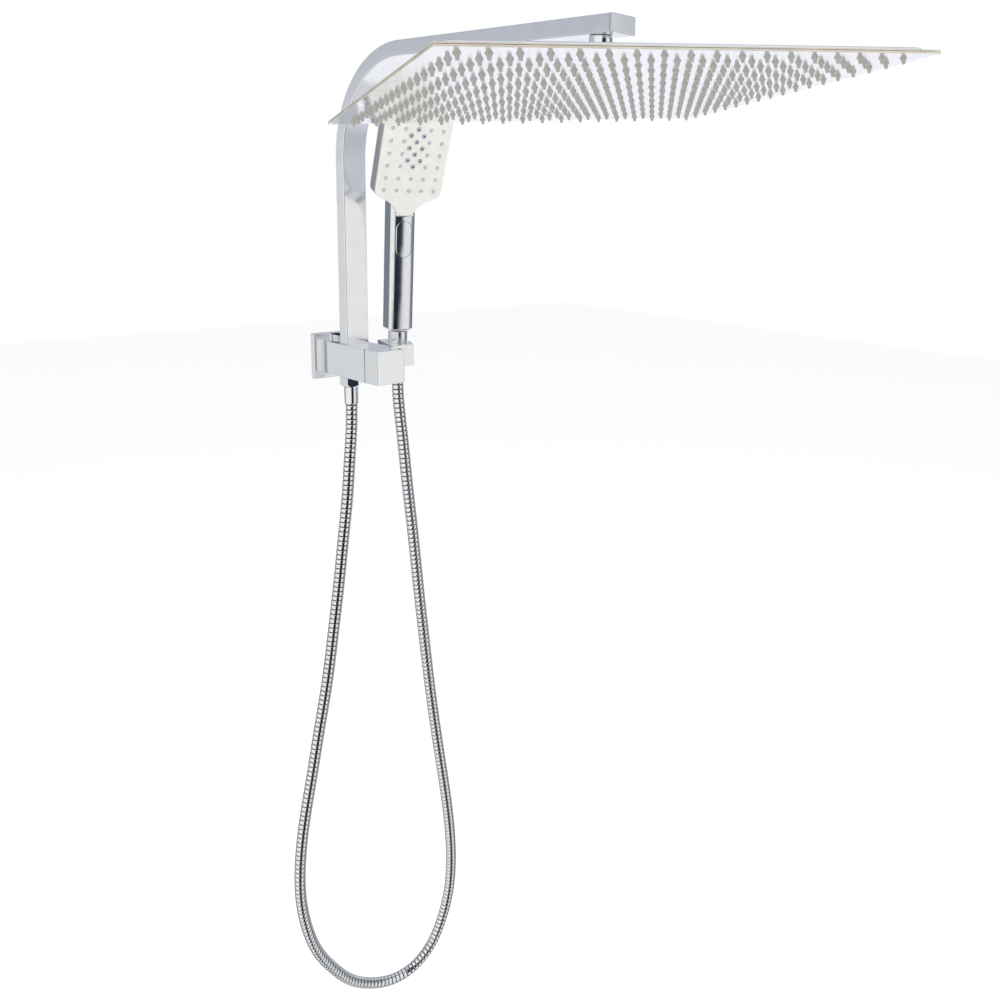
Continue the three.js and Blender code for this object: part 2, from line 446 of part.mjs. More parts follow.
const sprayOutline = [[-pocketHalf + GAP, ROW_START + GAP], [-pocketHalf + GAP, pocketTop - GAP],
  [pocketHalf - GAP, pocketTop - GAP], [pocketHalf - GAP, ROW_START + GAP], [29.6, pocketFoot + 2 * GAP],
  [-29.6, pocketFoot + 2 * GAP]];
// nozzles are moulded pointing down, then the sheet is turned to face the front
const faceSheet = (outline, spots, holes) => {
  const flat = moulded(prism(outline.map(([x, z]) => [x, -z]), -matBack, -faceBack, 0,
    holes.map((h) => h.map(([x, z]) => [x, -z]))).mirror([0, 0, 1]), spots.map(([x, z]) => [x, -z]),
  base, tip, -1.2, faceBack + matHeight / 2);
  return flat.rotate([-90, 0, 0]);
};
add('handset_nozzles', silicone, faceSheet(sprayOutline, plain, [windowLoop(0)]), paddle);
add('massage_insert', blue, faceSheet(windowLoop(GAP), massage, []), paddle);

export default column;
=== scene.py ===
from math import asin, copysign, cos, degrees, pi, radians, sin, sqrt, tan

import bmesh
import bpy
import numpy as np
from bpy.props import FloatProperty, FloatVectorProperty, IntProperty, PointerProperty
from mathutils import Matrix, Vector


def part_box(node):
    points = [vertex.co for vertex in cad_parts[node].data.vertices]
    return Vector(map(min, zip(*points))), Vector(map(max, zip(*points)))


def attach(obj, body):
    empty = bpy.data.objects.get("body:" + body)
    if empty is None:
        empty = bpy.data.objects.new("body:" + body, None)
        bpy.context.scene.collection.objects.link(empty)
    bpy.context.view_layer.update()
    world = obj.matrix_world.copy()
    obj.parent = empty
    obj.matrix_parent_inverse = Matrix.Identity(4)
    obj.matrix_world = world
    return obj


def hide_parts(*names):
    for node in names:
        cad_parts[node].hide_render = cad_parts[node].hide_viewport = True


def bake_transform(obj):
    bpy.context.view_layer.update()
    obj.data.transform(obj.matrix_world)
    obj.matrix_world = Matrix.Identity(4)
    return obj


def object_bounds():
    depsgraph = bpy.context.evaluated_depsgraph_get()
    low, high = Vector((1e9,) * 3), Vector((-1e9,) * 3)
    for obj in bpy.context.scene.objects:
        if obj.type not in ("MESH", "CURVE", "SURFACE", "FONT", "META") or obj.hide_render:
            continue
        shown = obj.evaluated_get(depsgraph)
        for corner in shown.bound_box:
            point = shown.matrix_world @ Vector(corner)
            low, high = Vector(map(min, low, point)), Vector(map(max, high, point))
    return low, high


bl_info = {
    "name": "Rainfall shower column",
    "version": (1, 0, 0),
    "blender": (4, 5, 0),
    "location": "View3D > Sidebar > Shower",
    "description": "Builds the finished surfaces of a square-head shower column round its solid model",
    "category": "Object",
}

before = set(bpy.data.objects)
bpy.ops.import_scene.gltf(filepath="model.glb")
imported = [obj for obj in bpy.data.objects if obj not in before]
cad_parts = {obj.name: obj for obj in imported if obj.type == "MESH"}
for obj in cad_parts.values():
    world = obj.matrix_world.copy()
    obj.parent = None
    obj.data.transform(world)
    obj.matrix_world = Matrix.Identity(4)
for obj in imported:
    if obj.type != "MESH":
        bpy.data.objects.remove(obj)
CAD_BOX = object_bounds()

MM = 0.001

# Places and sizes in millimetres, in the frame of the solid model: +Z up, the wall at Y 0, front to -Y.
OUTLET_Y, BALL_Z = -459, 325
HEAD_YAW, HEAD_TILT, HEAD_ROLL = -22.2, -3.9, -4.6
HEAD, HEAD_DROP, FACE_T, SHEET_T = 416, 28, 1.7, 1
SEAT = (48.5, -72, 20.5)
HOLDER_YAW, HANDSET_LEAN, PADDLE_TILT = -11, 4.5, 18.5
PADDLE_FOOT = (0, -12.5, 156)
HANDLE_FOOT, HANDLE_TOP, HANDLE_HALF, HANDLE_BACK, HANDLE_BOW = 14.3, 186, 15.5, 12.5, 6
FACE_HALF, FACE_TOP, FACE_PLATE, PADDLE_T = 41.5, 132, 1.8, 18
BUTTON_HALF, BUTTON_H, BUTTON_MID, BUTTON_T = 10.25, 43, 127.5, 4
RISER_Y, ARM_TOP, BEND_R, TUBE_W, TUBE_T = -52, 362, 125, 30, 16
HOSE_Y = -43
HEX_R, HEX_TURN, LOWER_FERRULE_R, UPPER_FERRULE_R, CONE_R = 13.4, 9, 8.1, 7.8, 11.9
BALL_R, BOSS_R, MAT_HALF = 8.08, 11, 191
HANDLE_CORNER = 2.9
TUBE_ROUND = 1.2                # radius of the long edges of the tube and of its cap
GAP = 0.35                      # clearance round the riser's socket and round the button
HOLDER_FRONT, HOLDER_NOSE, HOLDER_SIDE = -102.85, 49.5, 63.5
HOLDER_SLANT = 14 / 26.85       # sideways run of the holder's right front for each mm of depth

# Centreline of the hanging hose, in metres.
HOSE_ROUTE = [tuple(round(v * MM, 6) for v in place) for place in (
    (0, -43, -57.6), (-0.4, -43, -80), (-3, -42, -120), (-7, -40.5, -175), (-13, -39, -228),
    (-20, -37, -290), (-28, -35, -351), (-37, -33, -415), (-48, -30, -478), (-60, -27.5, -545),
    (-71, -25.5, -605), (-78, -25, -660), (-79, -25, -705), (-72, -26, -757), (-57, -27, -803),
    (-37, -28, -838), (-12, -29.5, -871), (18, -32, -894), (50, -36, -906), (80, -40, -904),
    (106, -45, -885), (124, -50, -850), (134, -56, -803), (134, -63, -745), (127, -69, -685),
    (117, -72, -620), (104, -73, -540), (93, -73.5, -465), (83, -74, -385), (74, -74, -305),
    (66, -73.5, -225), (59, -72, -155), (54, -70.2, -95), (50.6, -68.2, -50), (48.95, -69.7, -10),
)]


def turn(axis, angle):
    return Matrix.Rotation(radians(angle), 4, axis)


HEAD_FRAME = (Matrix.Translation((0, OUTLET_Y, BALL_Z))
              @ turn("Z", HEAD_YAW) @ turn("X", HEAD_TILT) @ turn("Y", HEAD_ROLL))
HANDSET_FRAME = Matrix.Translation(SEAT) @ turn("Z", HOLDER_YAW) @ turn("X", HANDSET_LEAN)
PADDLE_FRAME = HANDSET_FRAME @ Matrix.Translation(PADDLE_FOOT) @ turn("X", PADDLE_TILT)
LAID_BACK = turn("X", 90)       # turns an upright prism so that its height runs to -Y


# ---- settings ----
class StageSettings(bpy.types.PropertyGroup):
    lens: FloatProperty(name="Lens", description="Focal length of the camera", default=36.178,
                        unit="CAMERA")
    floor_drop: FloatProperty(name="Floor drop", description="Height of the object's foot over the floor",
                              default=0.35, unit="LENGTH")
    floor_colour: FloatVectorProperty(name="Floor", description="Colour of the floor", size=3,
                                      default=(0.985, 0.985, 0.985), subtype="COLOR")
    lamp_power: FloatProperty(name="Lamp", description="Power of the soft overhead lamp", default=30.0,
                              unit="POWER")


class FinishSettings(bpy.types.PropertyGroup):
    chrome: FloatVectorProperty(name="Chrome", description="Tint of the chrome plate", size=3,
                                default=(0.93, 0.935, 0.945), subtype="COLOR")
    steel: FloatVectorProperty(name="Steel", description="Tint of the polished head", size=3,
                               default=(0.95, 0.95, 0.975), subtype="COLOR")
    cut_edge: FloatVectorProperty(name="Cut edge", description="Tint of the head's sheared edge", size=3,
                                  default=(0.72, 0.67, 0.58), subtype="COLOR")
    silicone: FloatVectorProperty(name="Silicone", description="Colour of the soft nozzles", size=3,
                                  default=(0.52, 0.50, 0.465), subtype="COLOR")
    face: FloatVectorProperty(name="Spray face", description="Colour of the handset's face", size=3,
                              default=(0.83, 0.825, 0.785), subtype="COLOR")
    massage: FloatVectorProperty(name="Massage nozzles", description="Colour of the tinted nozzles",
                                 size=3, default=(0.10, 0.22, 0.42), subtype="COLOR")
    chrome_roughness: FloatProperty(name="Chrome roughness", description="Blur of the chrome's gloss",
                                    default=0.05, min=0, max=1, subtype="FACTOR")


class HoseSettings(bpy.types.PropertyGroup):
    radius: FloatProperty(name="Radius", description="Outer radius of the hose", default=0.007,
                          unit="LENGTH")
    ring_pitch: FloatProperty(name="Ring pitch", description="Length of one interlocked ring",
                              default=0.006, unit="LENGTH")
    groove: FloatProperty(name="Groove", description="Depth of the groove between two rings",
                          default=0.0014, unit="LENGTH")
    sides: IntProperty(name="Sides", description="Sides of the hose's round section", default=20)


class HeadSettings(bpy.types.PropertyGroup):
    nozzles: IntProperty(name="Nozzles", description="Nozzles along one side", default=18)
    pitch: FloatProperty(name="Pitch", description="Distance between nozzles", default=0.022,
                         unit="LENGTH")
    base: FloatProperty(name="Base", description="Radius of a nozzle at the plate", default=0.0029,
                        unit="LENGTH")
    tip: FloatProperty(name="Tip", description="Radius of a nozzle at its tip", default=0.0014,
                       unit="LENGTH")
    reach: FloatProperty(name="Reach", description="Length of a nozzle below the plate", default=0.0050,
                         unit="LENGTH")


class HandsetSettings(bpy.types.PropertyGroup):
    row_pitch: FloatProperty(name="Row pitch", description="Distance between rows of nozzles",
                             default=0.015, unit="LENGTH")
    column_pitch: FloatProperty(name="Column pitch", description="Distance between columns of nozzles",
                                default=0.0155, unit="LENGTH")
    first_row: FloatProperty(name="First row", description="Lowest row over the face's foot",
                             default=0.031, unit="LENGTH")
    rows: IntProperty(name="Rows", description="Rows of nozzles", default=7)
    columns: IntProperty(name="Columns", description="Columns of nozzles", default=5)


# ---- outlines and solids, in millimetres ----
def polar(r, angle):
    """Point at radius r and an angle in degrees."""
    a = radians(angle)
    return r * cos(a), r * sin(a)


def rounded_rect(x0, x1, y0, y1, radii, steps=5):
    """Outline of a rectangle. The radii are for the right front, right rear, left rear and left front."""
    out = []
    for (cx, cy, start), r in zip(((x1, y0, -90), (x1, y1, 0), (x0, y1, 90), (x0, y0, 180)), radii):
        sx, sy = (-1 if cx == x1 else 1), (-1 if cy == y1 else 1)
        for i in range(steps + 1):
            x, y = polar(r, start + 90 * i / steps)
            out.append((cx + sx * r + x, cy + sy * r + y))
    return out


def centred(half_x, half_y, r, steps=5):
    return rounded_rect(-half_x, half_x, -half_y, half_y, [r] * 4, steps)


def inset(loop, d):
    """The closed loop, counter-clockwise, with every side moved inwards by d."""
    if abs(d) < 1e-9:
        return list(loop)
    out, n = [], len(loop)
    for i in range(n):
        a, b, c = (Vector(loop[(i + k) % n]) for k in (-1, 0, 1))
        u, v = (b - a).normalized(), (c - b).normalized()
        nu, nv = Vector((-u.y, u.x)), Vector((-v.y, v.x))
        m = nu + nv
        m = m / max(m.length_squared / 2, 0.2)
        out.append(tuple(b + m * d))
    return out


def softened(points, r, steps=3, least=20):
    """The closed outline with its corners cut by short arcs of about radius r."""
    out, n = [], len(points)
    for i, p in enumerate(points):
        a, b, c = Vector(points[i - 1]), Vector(p), Vector(points[(i + 1) % n])
        u, v = a - b, c - b
        if 180 - degrees(u.angle(v, pi)) < least:
            out.append(tuple(p))
            continue
        cut = min(r, u.length * 0.45, v.length * 0.45)
        s, e = b + u.normalized() * cut, b + v.normalized() * cut
        for k in range(steps + 1):
            t = k / steps
            out.append(tuple(s * (1 - t) ** 2 + b * 2 * t * (1 - t) + e * t * t))
    return out


def edge_levels(z0, z1, foot, head, steps=3):
    """Heights and insets of a prism whose two ends are rounded by foot and head."""
    low = [(z0 + foot * (1 - sin(a)), foot * (1 - cos(a)))
           for a in (pi / 2 * (1 - i / steps) for i in range(steps + 1))] if foot else [(z0, 0)]
    high = [(z1 - head * (1 - sin(a)), head * (1 - cos(a)))
            for a in (pi / 2 * i / steps for i in range(steps + 1))] if head else [(z1, 0)]
    return low, high


def loft(loops):
    """Closed solid through loops of points in space that all have the same count."""
    n = len(loops[0])
    verts = [tuple(p) for loop in loops for p in loop]
    faces = [tuple(reversed(range(n))), tuple(range(len(verts) - n, len(verts)))]
    for k in range(len(loops) - 1):
        a, b = k * n, (k + 1) * n
        faces += [(a + i, a + (i + 1) % n, b + (i + 1) % n, b + i) for i in range(n)]
    return verts, faces


def stacked(outline, levels):
    """The outline as a loop in space at each pair of height and inset."""
    return [[(x, y, z) for x, y in inset(outline, d)] for z, d in levels]


def slab(low, z0, z1, foot=0.5, head=None, high=None, steps=3):
    """Prism from outline low at z0 to outline high at z1, with rounded ends."""
    high, head = high or low, foot if head is None else head
    first, last = edge_levels(z0, z1, foot, head, steps)
    return loft(stacked(low, first) + stacked(high, last))


def lathe(profile, sides=48):
    """Solid of revolution about Z from a closed outline of pairs of radius and height."""
    n, verts, faces = len(profile), [], []
    for i in range(sides):
        a = 2 * pi * i / sides
        verts += [(r * cos(a), r * sin(a), z) for r, z in profile]
    for i in range(sides):
        a, b = i * n, (i + 1) % sides * n
        faces += [(a + k, b + k, b + (k + 1) % n, a + (k + 1) % n) for k in range(n)]
    return verts, faces


def rod(r, z0, z1, sides=32):
    """A plain cylinder on Z, to cut with."""
    return lathe([(0, z0), (r, z0), (r, z1), (0, z1)], sides)


def together(*solids):
    verts, faces = [], []
    for v, f in solids:
        faces += [tuple(i + len(verts) for i in face) for face in f]
        verts += v
    return verts, faces


def shifted(solid, x, y, z):
    return [(a + x, b + y, c + z) for a, b, c in solid[0]], solid[1]


# ---- meshes and objects ----
def mesh_object(name, solid, place=Matrix()):
    """An object in metres from a solid in millimetres, welded, with its faces turned outwards."""
    mesh = bpy.data.meshes.new(name)
    mesh.from_pydata([tuple(v) for v in solid[0]], [], solid[1])
    bm = bmesh.new()
    bm.from_mesh(mesh)
    bmesh.ops.remove_doubles(bm, verts=bm.verts, dist=1e-4)
    bmesh.ops.dissolve_degenerate(bm, edges=bm.edges, dist=1e-5)
    bmesh.ops.transform(bm, matrix=Matrix.Scale(MM, 4) @ place, verts=bm.verts)
    bmesh.ops.recalc_face_normals(bm, faces=bm.faces)
    bm.to_mesh(mesh)
    bm.free()
    o = bpy.data.objects.new(name, mesh)
    bpy.context.scene.collection.objects.link(o)
    return o


def bake(o):
    """Replaces the object's mesh by what its modifiers give."""
    bpy.context.view_layer.update()
    o.data = bpy.data.meshes.new_from_object(o.evaluated_get(bpy.context.evaluated_depsgraph_get()))
    o.modifiers.clear()
    return o


def combined(o, solid, place=Matrix(), operation="DIFFERENCE"):
    """Cuts the solid from o, or joins it to it."""
    tool = mesh_object("tool", solid, place)
    m = o.modifiers.new("combine", "BOOLEAN")
    m.operation, m.solver, m.object = operation, "EXACT", tool
    bake(o)
    bpy.data.objects.remove(tool)


def eased(o, width, steps=2, angle=30):
    """Rounds every sharp edge of the object."""
    m = o.modifiers.new("ease", "BEVEL")
    m.width, m.segments, m.limit_method, m.angle_limit = width * MM, steps, "ANGLE", radians(angle)
    m.use_clamp_overlap, m.miter_outer = True, "MITER_SHARP"
    return bake(o)


def fitted(o, body, finish, node, slot, sharp=40, flat=True):
    """Shades the piece, gives it its finish, hides the node's solid, whose place it takes, and lets it
    ride on its body.
    """
    o.data.shade_smooth()
    o.data.set_sharp_from_angle(angle=radians(sharp))
    if flat:
        m = o.modifiers.new("even", "WEIGHTED_NORMAL")
        m.mode, m.weight, m.keep_sharp = "FACE_AREA", 60, True
        bake(o)
    o.data.materials.clear()
    o.data.materials.append(FINISH[finish])
    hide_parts(node)
    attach(o, body)
    return o


def node_box(node):
    """Lowest and highest corner of a solid of the frame, in millimetres."""
    lo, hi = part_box(node)
    return lo / MM, hi / MM


# ---- finishes ----
def link(tree, a, b):
    tree.links.new(a, b)


def put(node, **values):
    """Sets inputs of a node. An underscore stands for a space in an input's name."""
    for key, value in values.items():
        node.inputs[key.replace("_", " ")].default_value = value
    return node


def new_finish(name, colour, metallic=0.0, roughness=0.4, **sockets):
    """A material whose principled shader has these values, and its tree."""
    m = bpy.data.materials.new(name)
    m.use_nodes = True
    shader = m.node_tree.nodes["Principled BSDF"]
    put(shader, Base_Color=(*colour, 1), Metallic=metallic, Roughness=roughness, **sockets)
    return m, m.node_tree, shader


def noise(tree, scale, detail=3.0, stretch=(1, 1, 1)):
    """Noise in object space, so that it stays with the piece."""
    place = tree.nodes.new("ShaderNodeTexCoord")
    mapping = put(tree.nodes.new("ShaderNodeMapping"), Scale=stretch)
    texture = put(tree.nodes.new("ShaderNodeTexNoise"), Scale=scale, Detail=detail)
    link(tree, place.outputs["Object"], mapping.inputs["Vector"])
    link(tree, mapping.outputs["Vector"], texture.inputs["Vector"])
    return texture.outputs["Fac"]


def ranged(tree, value, start, end, low=0.0, high=1.0):
    """The value mapped so that start gives low and end gives high."""
    node = put(tree.nodes.new("ShaderNodeMapRange"), From_Min=start, From_Max=end, To_Min=low,
               To_Max=high)
    link(tree, value, node.inputs["Value"])
    return node.outputs["Result"]


def spread(tree, value, low, high):
    """Noise, whose values gather round a half, spread between low and high."""
    return ranged(tree, value, 0.3, 0.7, low, high)


def reckoned(tree, operation, a, b):
    node = tree.nodes.new("ShaderNodeMath")
    node.operation = operation
    link(tree, a, node.inputs[0])
    link(tree, b, node.inputs[1])
    return node.outputs[0]


def blended(tree, share, first, second):
    """Colour between first and second by the share. Each is a colour or another node's output."""
    mix = tree.nodes.new("ShaderNodeMix")
    mix.data_type = "RGBA"
    link(tree, share, mix.inputs[0])
    for socket, colour in ((mix.inputs[6], first), (mix.inputs[7], second)):
        if isinstance(colour, bpy.types.NodeSocket):
            link(tree, colour, socket)
        else:
            socket.default_value = (*colour, 1)
    return mix.outputs[2]


def tinted(tree, shader, value, first, second):
    """Colour between first and second by the value."""
    link(tree, blended(tree, value, first, second), shader.inputs["Base Color"])


def bumped(tree, shader, value, strength, distance):
    bump = put(tree.nodes.new("ShaderNodeBump"), Strength=strength, Distance=distance)
    link(tree, value, bump.inputs["Height"])
    link(tree, bump.outputs["Normal"], shader.inputs["Normal"])


def plated(name, colour, roughness, ripple=0.04, stretch=(1, 1, 1), rim=1.0):
    """Polished metal: clear gloss with faint wipe marks and the slight ripple of a plated skin."""
    m, tree, shader = new_finish(name, colour, metallic=1.0, roughness=roughness,
                                 Specular_Tint=(rim, rim, rim, 1))
    marks = noise(tree, 60, 4, stretch)
    link(tree, spread(tree, marks, roughness * 0.6, roughness * 1.6 + 0.01), shader.inputs["Roughness"])
    cast = spread(tree, noise(tree, 9, 2), 0, 1)
    tinted(tree, shader, cast, colour, [c * 0.97 for c in colour])
    bumped(tree, shader, noise(tree, 45, 1.5), ripple, 0.0002)
    return m


def moulded(name, colour, roughness, grain=900, depth=0.05, **sockets):
    """Plastic or rubber with a fine skin and slightly uneven colour."""
    m, tree, shader = new_finish(name, colour, roughness=roughness, **sockets)
    fine = noise(tree, grain, 4)
    link(tree, spread(tree, fine, roughness * 0.85, min(1, roughness * 1.15)), shader.inputs["Roughness"])
    tinted(tree, shader, spread(tree, noise(tree, 70, 2), 0, 1), colour, [c * 0.93 for c in colour])
    bumped(tree, shader, fine, depth, 0.0002)
    return m


def machined(name, colour, roughness, metallic=1.0):
    """Turned metal with fine tool lines across its height."""
    m, tree, shader = new_finish(name, colour, metallic=metallic, roughness=roughness)
    lines = noise(tree, 300, 2, (0.2, 0.2, 6))
    link(tree, spread(tree, lines, roughness * 0.7, roughness * 1.4), shader.inputs["Roughness"])
    tinted(tree, shader, spread(tree, noise(tree, 40, 3), 0, 1), colour, [c * 0.8 for c in colour])
    bumped(tree, shader, lines, 0.15, 0.0002)
    return m


FINISH = {}


def make_finishes(f):
    chrome, rough = tuple(f.chrome), f.chrome_roughness
    FINISH.update(
        chrome=plated("chrome_plate", chrome, rough),
        handset_chrome=plated("handset_chrome", tuple(c * 0.97 for c in chrome), 0.11, 0.03),
        satin=plated("soft_chrome_plate", chrome, 0.15, 0.02),
        hose_steel=plated("hose_ring_steel", tuple(c * 0.98 for c in chrome), 0.06, 0.02, rim=0.08),
        ferrule=plated("ferrule_chrome", chrome, 0.05, 0.02, rim=0.15),
        # painted shade: the dark finish of the faces in the hose's grooves
        hose_groove=plated("hose_groove_painted_shade", (0.07, 0.075, 0.085), 0.35, 0.02),
        # painted shade: the dark finish of faces inside a narrow joint
        seam=plated("shadowed_joint_face", (0.055, 0.06, 0.07), 0.4, 0.02),
        steel=plated("polished_head_steel", tuple(f.steel), 0.12, 0.015),
        cut_edge=machined("sheared_steel_edge", tuple(f.cut_edge), 0.5, metallic=0.3),
        pin_steel=machined("turned_steel", (0.62, 0.62, 0.64), 0.28),
        brass=machined("turned_brass", (0.62, 0.45, 0.20), 0.3),
        silicone=moulded("nozzle_silicone", tuple(f.silicone), 0.5, 1400, 0.08),
        face_silicone=moulded("clear_grey_silicone", (0.62, 0.64, 0.64), 0.28, 1400, 0.05,
                              Coat_Weight=0.4, Coat_Roughness=0.1),
        face=moulded("spray_face_gloss", tuple(f.face), 0.24, 500, 0.02, Coat_Weight=0.6,
                     Coat_Roughness=0.08),
        massage=moulded("blue_massage_nozzle", tuple(f.massage), 0.16, 900, 0.03, Coat_Weight=0.8,
                        Coat_Roughness=0.05),
        rubber=moulded("seal_rubber", (0.03, 0.03, 0.032), 0.75, 700, 0.3),
        dark_plastic=moulded("dark_plastic", (0.04, 0.042, 0.046), 0.42, 700, 0.15),
        screw_steel=machined("black_screw_steel", (0.12, 0.12, 0.13), 0.38),
    )


# ---- stage ----
CAMERA_PLACE = (-0.6718, -1.1198, 0.2055)
CAMERA_YAW, CAMERA_DIP, CAMERA_ROLL = -0.8541932, 0.1839880, 0.0346514
CAMERA_SHIFT = (-0.1525, -0.115)

# The studio as the metal mirrors it: heading round the object in degrees, and the light from there.
STUDIO = [
    (-180, (0.90, 0.90, 0.89)), (-150, (0.92, 0.92, 0.90)), (-127, (0.92, 0.92, 0.90)),
    (-118, (0.014, 0.020, 0.032)), (-88, (0.020, 0.032, 0.052)), (-76, (0.80, 0.80, 0.78)),
    (-60, (0.84, 0.84, 0.83)), (-47, (0.82, 0.83, 0.84)), (-38, (0.24, 0.27, 0.32)),
    (-8, (0.10, 0.13, 0.18)), (8, (0.75, 0.77, 0.82)), (16, (0.93, 0.935, 0.99)),
    (80, (0.93, 0.935, 0.99)), (86, (0.15, 0.175, 0.22)), (108, (0.21, 0.235, 0.28)),
    (114, (0.69, 0.705, 0.725)), (141, (0.69, 0.705, 0.725)), (152, (0.92, 0.92, 0.90)),
    (180, (0.90, 0.90, 0.89)),
]
# Towards the floor the dark panel in front is wider: these headings move, and turn to a plain grey.
WIDE_PANEL = {-150: (-158, 0.92), -127: (-146, 0.88), -118: (-138, 0.012), -88: (-97, 0.014),
              -76: (-84, 0.80)}
FLOORWARD = (-0.25, -0.29)      # upward share of a direction where the wider panel sets in
COOL_GREY, WASHED_GREY = (0.43, 0.46, 0.53), (0.62, 0.64, 0.68)


def aim(yaw, dip, roll):
    """Camera axes from its heading, its dip below level and its roll."""
    ahead, side = Vector((-sin(yaw), cos(yaw), 0)), Vector((cos(yaw), sin(yaw), 0))
    up = Vector((0, 0, 1))
    look = ahead * cos(dip) - up * sin(dip)
    top = up * cos(dip) + ahead * sin(dip)
    right = side * cos(roll) + top * sin(roll)
    top = top * cos(roll) - side * sin(roll)
    return Matrix((right, top, -look)).transposed().to_4x4()


def light_ramp(tree, share, panels):
    """A colour ramp round the horizon with one stop for each panel edge."""
    node = tree.nodes.new("ShaderNodeValToRGB")
    stops = node.color_ramp.elements
    while len(stops) < len(panels):
        stops.new(0.5)
    for stop, panel in zip(stops, panels):
        stop.position = (panel[0] + 180) / 360
    for stop, panel in zip(stops, panels):
        stop.color = (*panel[1], 1)
    link(tree, share, node.inputs["Fac"])
    return node.outputs["Color"]


def studio_world():
    """White round the object, and for the metal's gloss a studio with bright and dark panels."""
    world = bpy.data.worlds.new("studio")
    world.use_nodes = True
    tree = world.node_tree
    tree.nodes.clear()
    new = tree.nodes.new
    place, split, ray = new("ShaderNodeTexCoord"), new("ShaderNodeSeparateXYZ"), new("ShaderNodeLightPath")
    link(tree, place.outputs["Generated"], split.inputs[0])
    x, y, z = (split.outputs[k] for k in "XYZ")
    share = ranged(tree, reckoned(tree, "ARCTAN2", y, x), -pi, pi)
    low_studio = [(WIDE_PANEL[d][0], (WIDE_PANEL[d][1],) * 3) if d in WIDE_PANEL else (d, light)
                  for d, light in STUDIO]
    panels = blended(tree, ranged(tree, z, *FLOORWARD), light_ramp(tree, share, STUDIO),
                     light_ramp(tree, share, low_studio))
    # above level, behind the object, the room is a cooler grey
    rise, behind = ranged(tree, z, 0.02, 0.14, 0, 0.85), ranged(tree, y, 0.1, 0.5)
    room = blended(tree, reckoned(tree, "MULTIPLY", rise, behind), panels, COOL_GREY)
    # light that has met a second mirror has lost its contrast
    again = ranged(tree, ray.outputs["Ray Depth"], 2, 3, 0, 0.45)
    mirrored, plain = new("ShaderNodeBackground"), put(new("ShaderNodeBackground"), Color=(1, 1, 1, 1))
    link(tree, blended(tree, again, room, WASHED_GREY), mirrored.inputs["Color"])
    mix, out = new("ShaderNodeMixShader"), new("ShaderNodeOutputWorld")
    link(tree, ray.outputs["Is Glossy Ray"], mix.inputs[0])
    link(tree, plain.outputs[0], mix.inputs[1])
    link(tree, mirrored.outputs[0], mix.inputs[2])
    link(tree, mix.outputs[0], out.inputs["Surface"])
    return world


class SHOWER_OT_stage(bpy.types.Operator):
    """Sets up the camera, the pale floor and the studio light"""
    bl_idname = "shower.stage"
    bl_label = "Stage"

    def execute(self, context):
        scene, s = context.scene, context.scene.shower_stage
        camera = bpy.data.objects.new("camera", bpy.data.cameras.new("camera"))
        scene.collection.objects.link(camera)
        camera.matrix_world = (Matrix.Translation(CAMERA_PLACE)
                               @ aim(CAMERA_YAW, CAMERA_DIP, CAMERA_ROLL))
        camera.data.lens, camera.data.sensor_width = s.lens, 36
        camera.data.shift_x, camera.data.shift_y = CAMERA_SHIFT
        camera.data.clip_start, camera.data.clip_end = 0.05, 60
        scene.camera = camera
        scene.world = studio_world()
        scene.view_settings.view_transform = "Standard"
        floor_z = CAD_BOX[0].z / MM - s.floor_drop / MM
        ground = mesh_object("floor", ([(x, y, floor_z) for x, y in
                                        ((-9e3, -9e3), (9e3, -9e3), (9e3, 9e3), (-9e3, 9e3))],
                                       [(0, 1, 2, 3)]))
        paint, tree, shader = new_finish("floor_paint", tuple(s.floor_colour), roughness=0.9)
        tinted(tree, shader, noise(tree, 2, 2), tuple(s.floor_colour),
               [c * 0.995 for c in s.floor_colour])
        ground.data.materials.append(paint)
        ground.visible_glossy = False
        lamp = bpy.data.objects.new("soft_lamp", bpy.data.lights.new("soft_lamp", "AREA"))
        lamp.data.size, lamp.data.energy = 2.0, s.lamp_power
        lamp.location = (-0.6, -1.2, 2.2)
        lamp.rotation_euler = Vector((0.6, 1.0, -2.2)).to_track_quat("-Z", "Y").to_euler()
        lamp.visible_glossy = False
        scene.collection.objects.link(lamp)
        return {"FINISHED"}


# ---- hose ----
def smooth_line(points, step):
    """Points a step apart on the natural spline through the route, and its length."""
    p = np.array(points, float)
    t = np.concatenate([[0], np.cumsum(np.linalg.norm(np.diff(p, axis=0), axis=1))])
    h, n = np.diff(t), len(p)
    a, b = np.eye(n), np.zeros((n, 3))
    for i in range(1, n - 1):
        a[i, i - 1:i + 2] = h[i - 1], 2 * (h[i - 1] + h[i]), h[i]
        b[i] = 6 * ((p[i + 1] - p[i]) / h[i] - (p[i] - p[i - 1]) / h[i - 1])
    m = np.linalg.solve(a, b)

    def at(u):
        i = np.clip(np.searchsorted(t, u) - 1, 0, n - 2)
        w, k = (u - t[i])[:, None], h[i][:, None]
        slope = (p[i + 1] - p[i]) / k - k * (2 * m[i] + m[i + 1]) / 6
        return p[i] + w * slope + w ** 2 * m[i] / 2 + w ** 3 * (m[i + 1] - m[i]) / (6 * k)

    fine = at(np.linspace(0, t[-1], 6000))
    run = np.concatenate([[0], np.cumsum(np.linalg.norm(np.diff(fine, axis=0), axis=1))])
    marks = np.linspace(0, run[-1], max(2, round(run[-1] / step)) + 1)
    return np.stack([np.interp(marks, run, fine[:, k]) for k in range(3)], 1), run[-1], (run, fine)


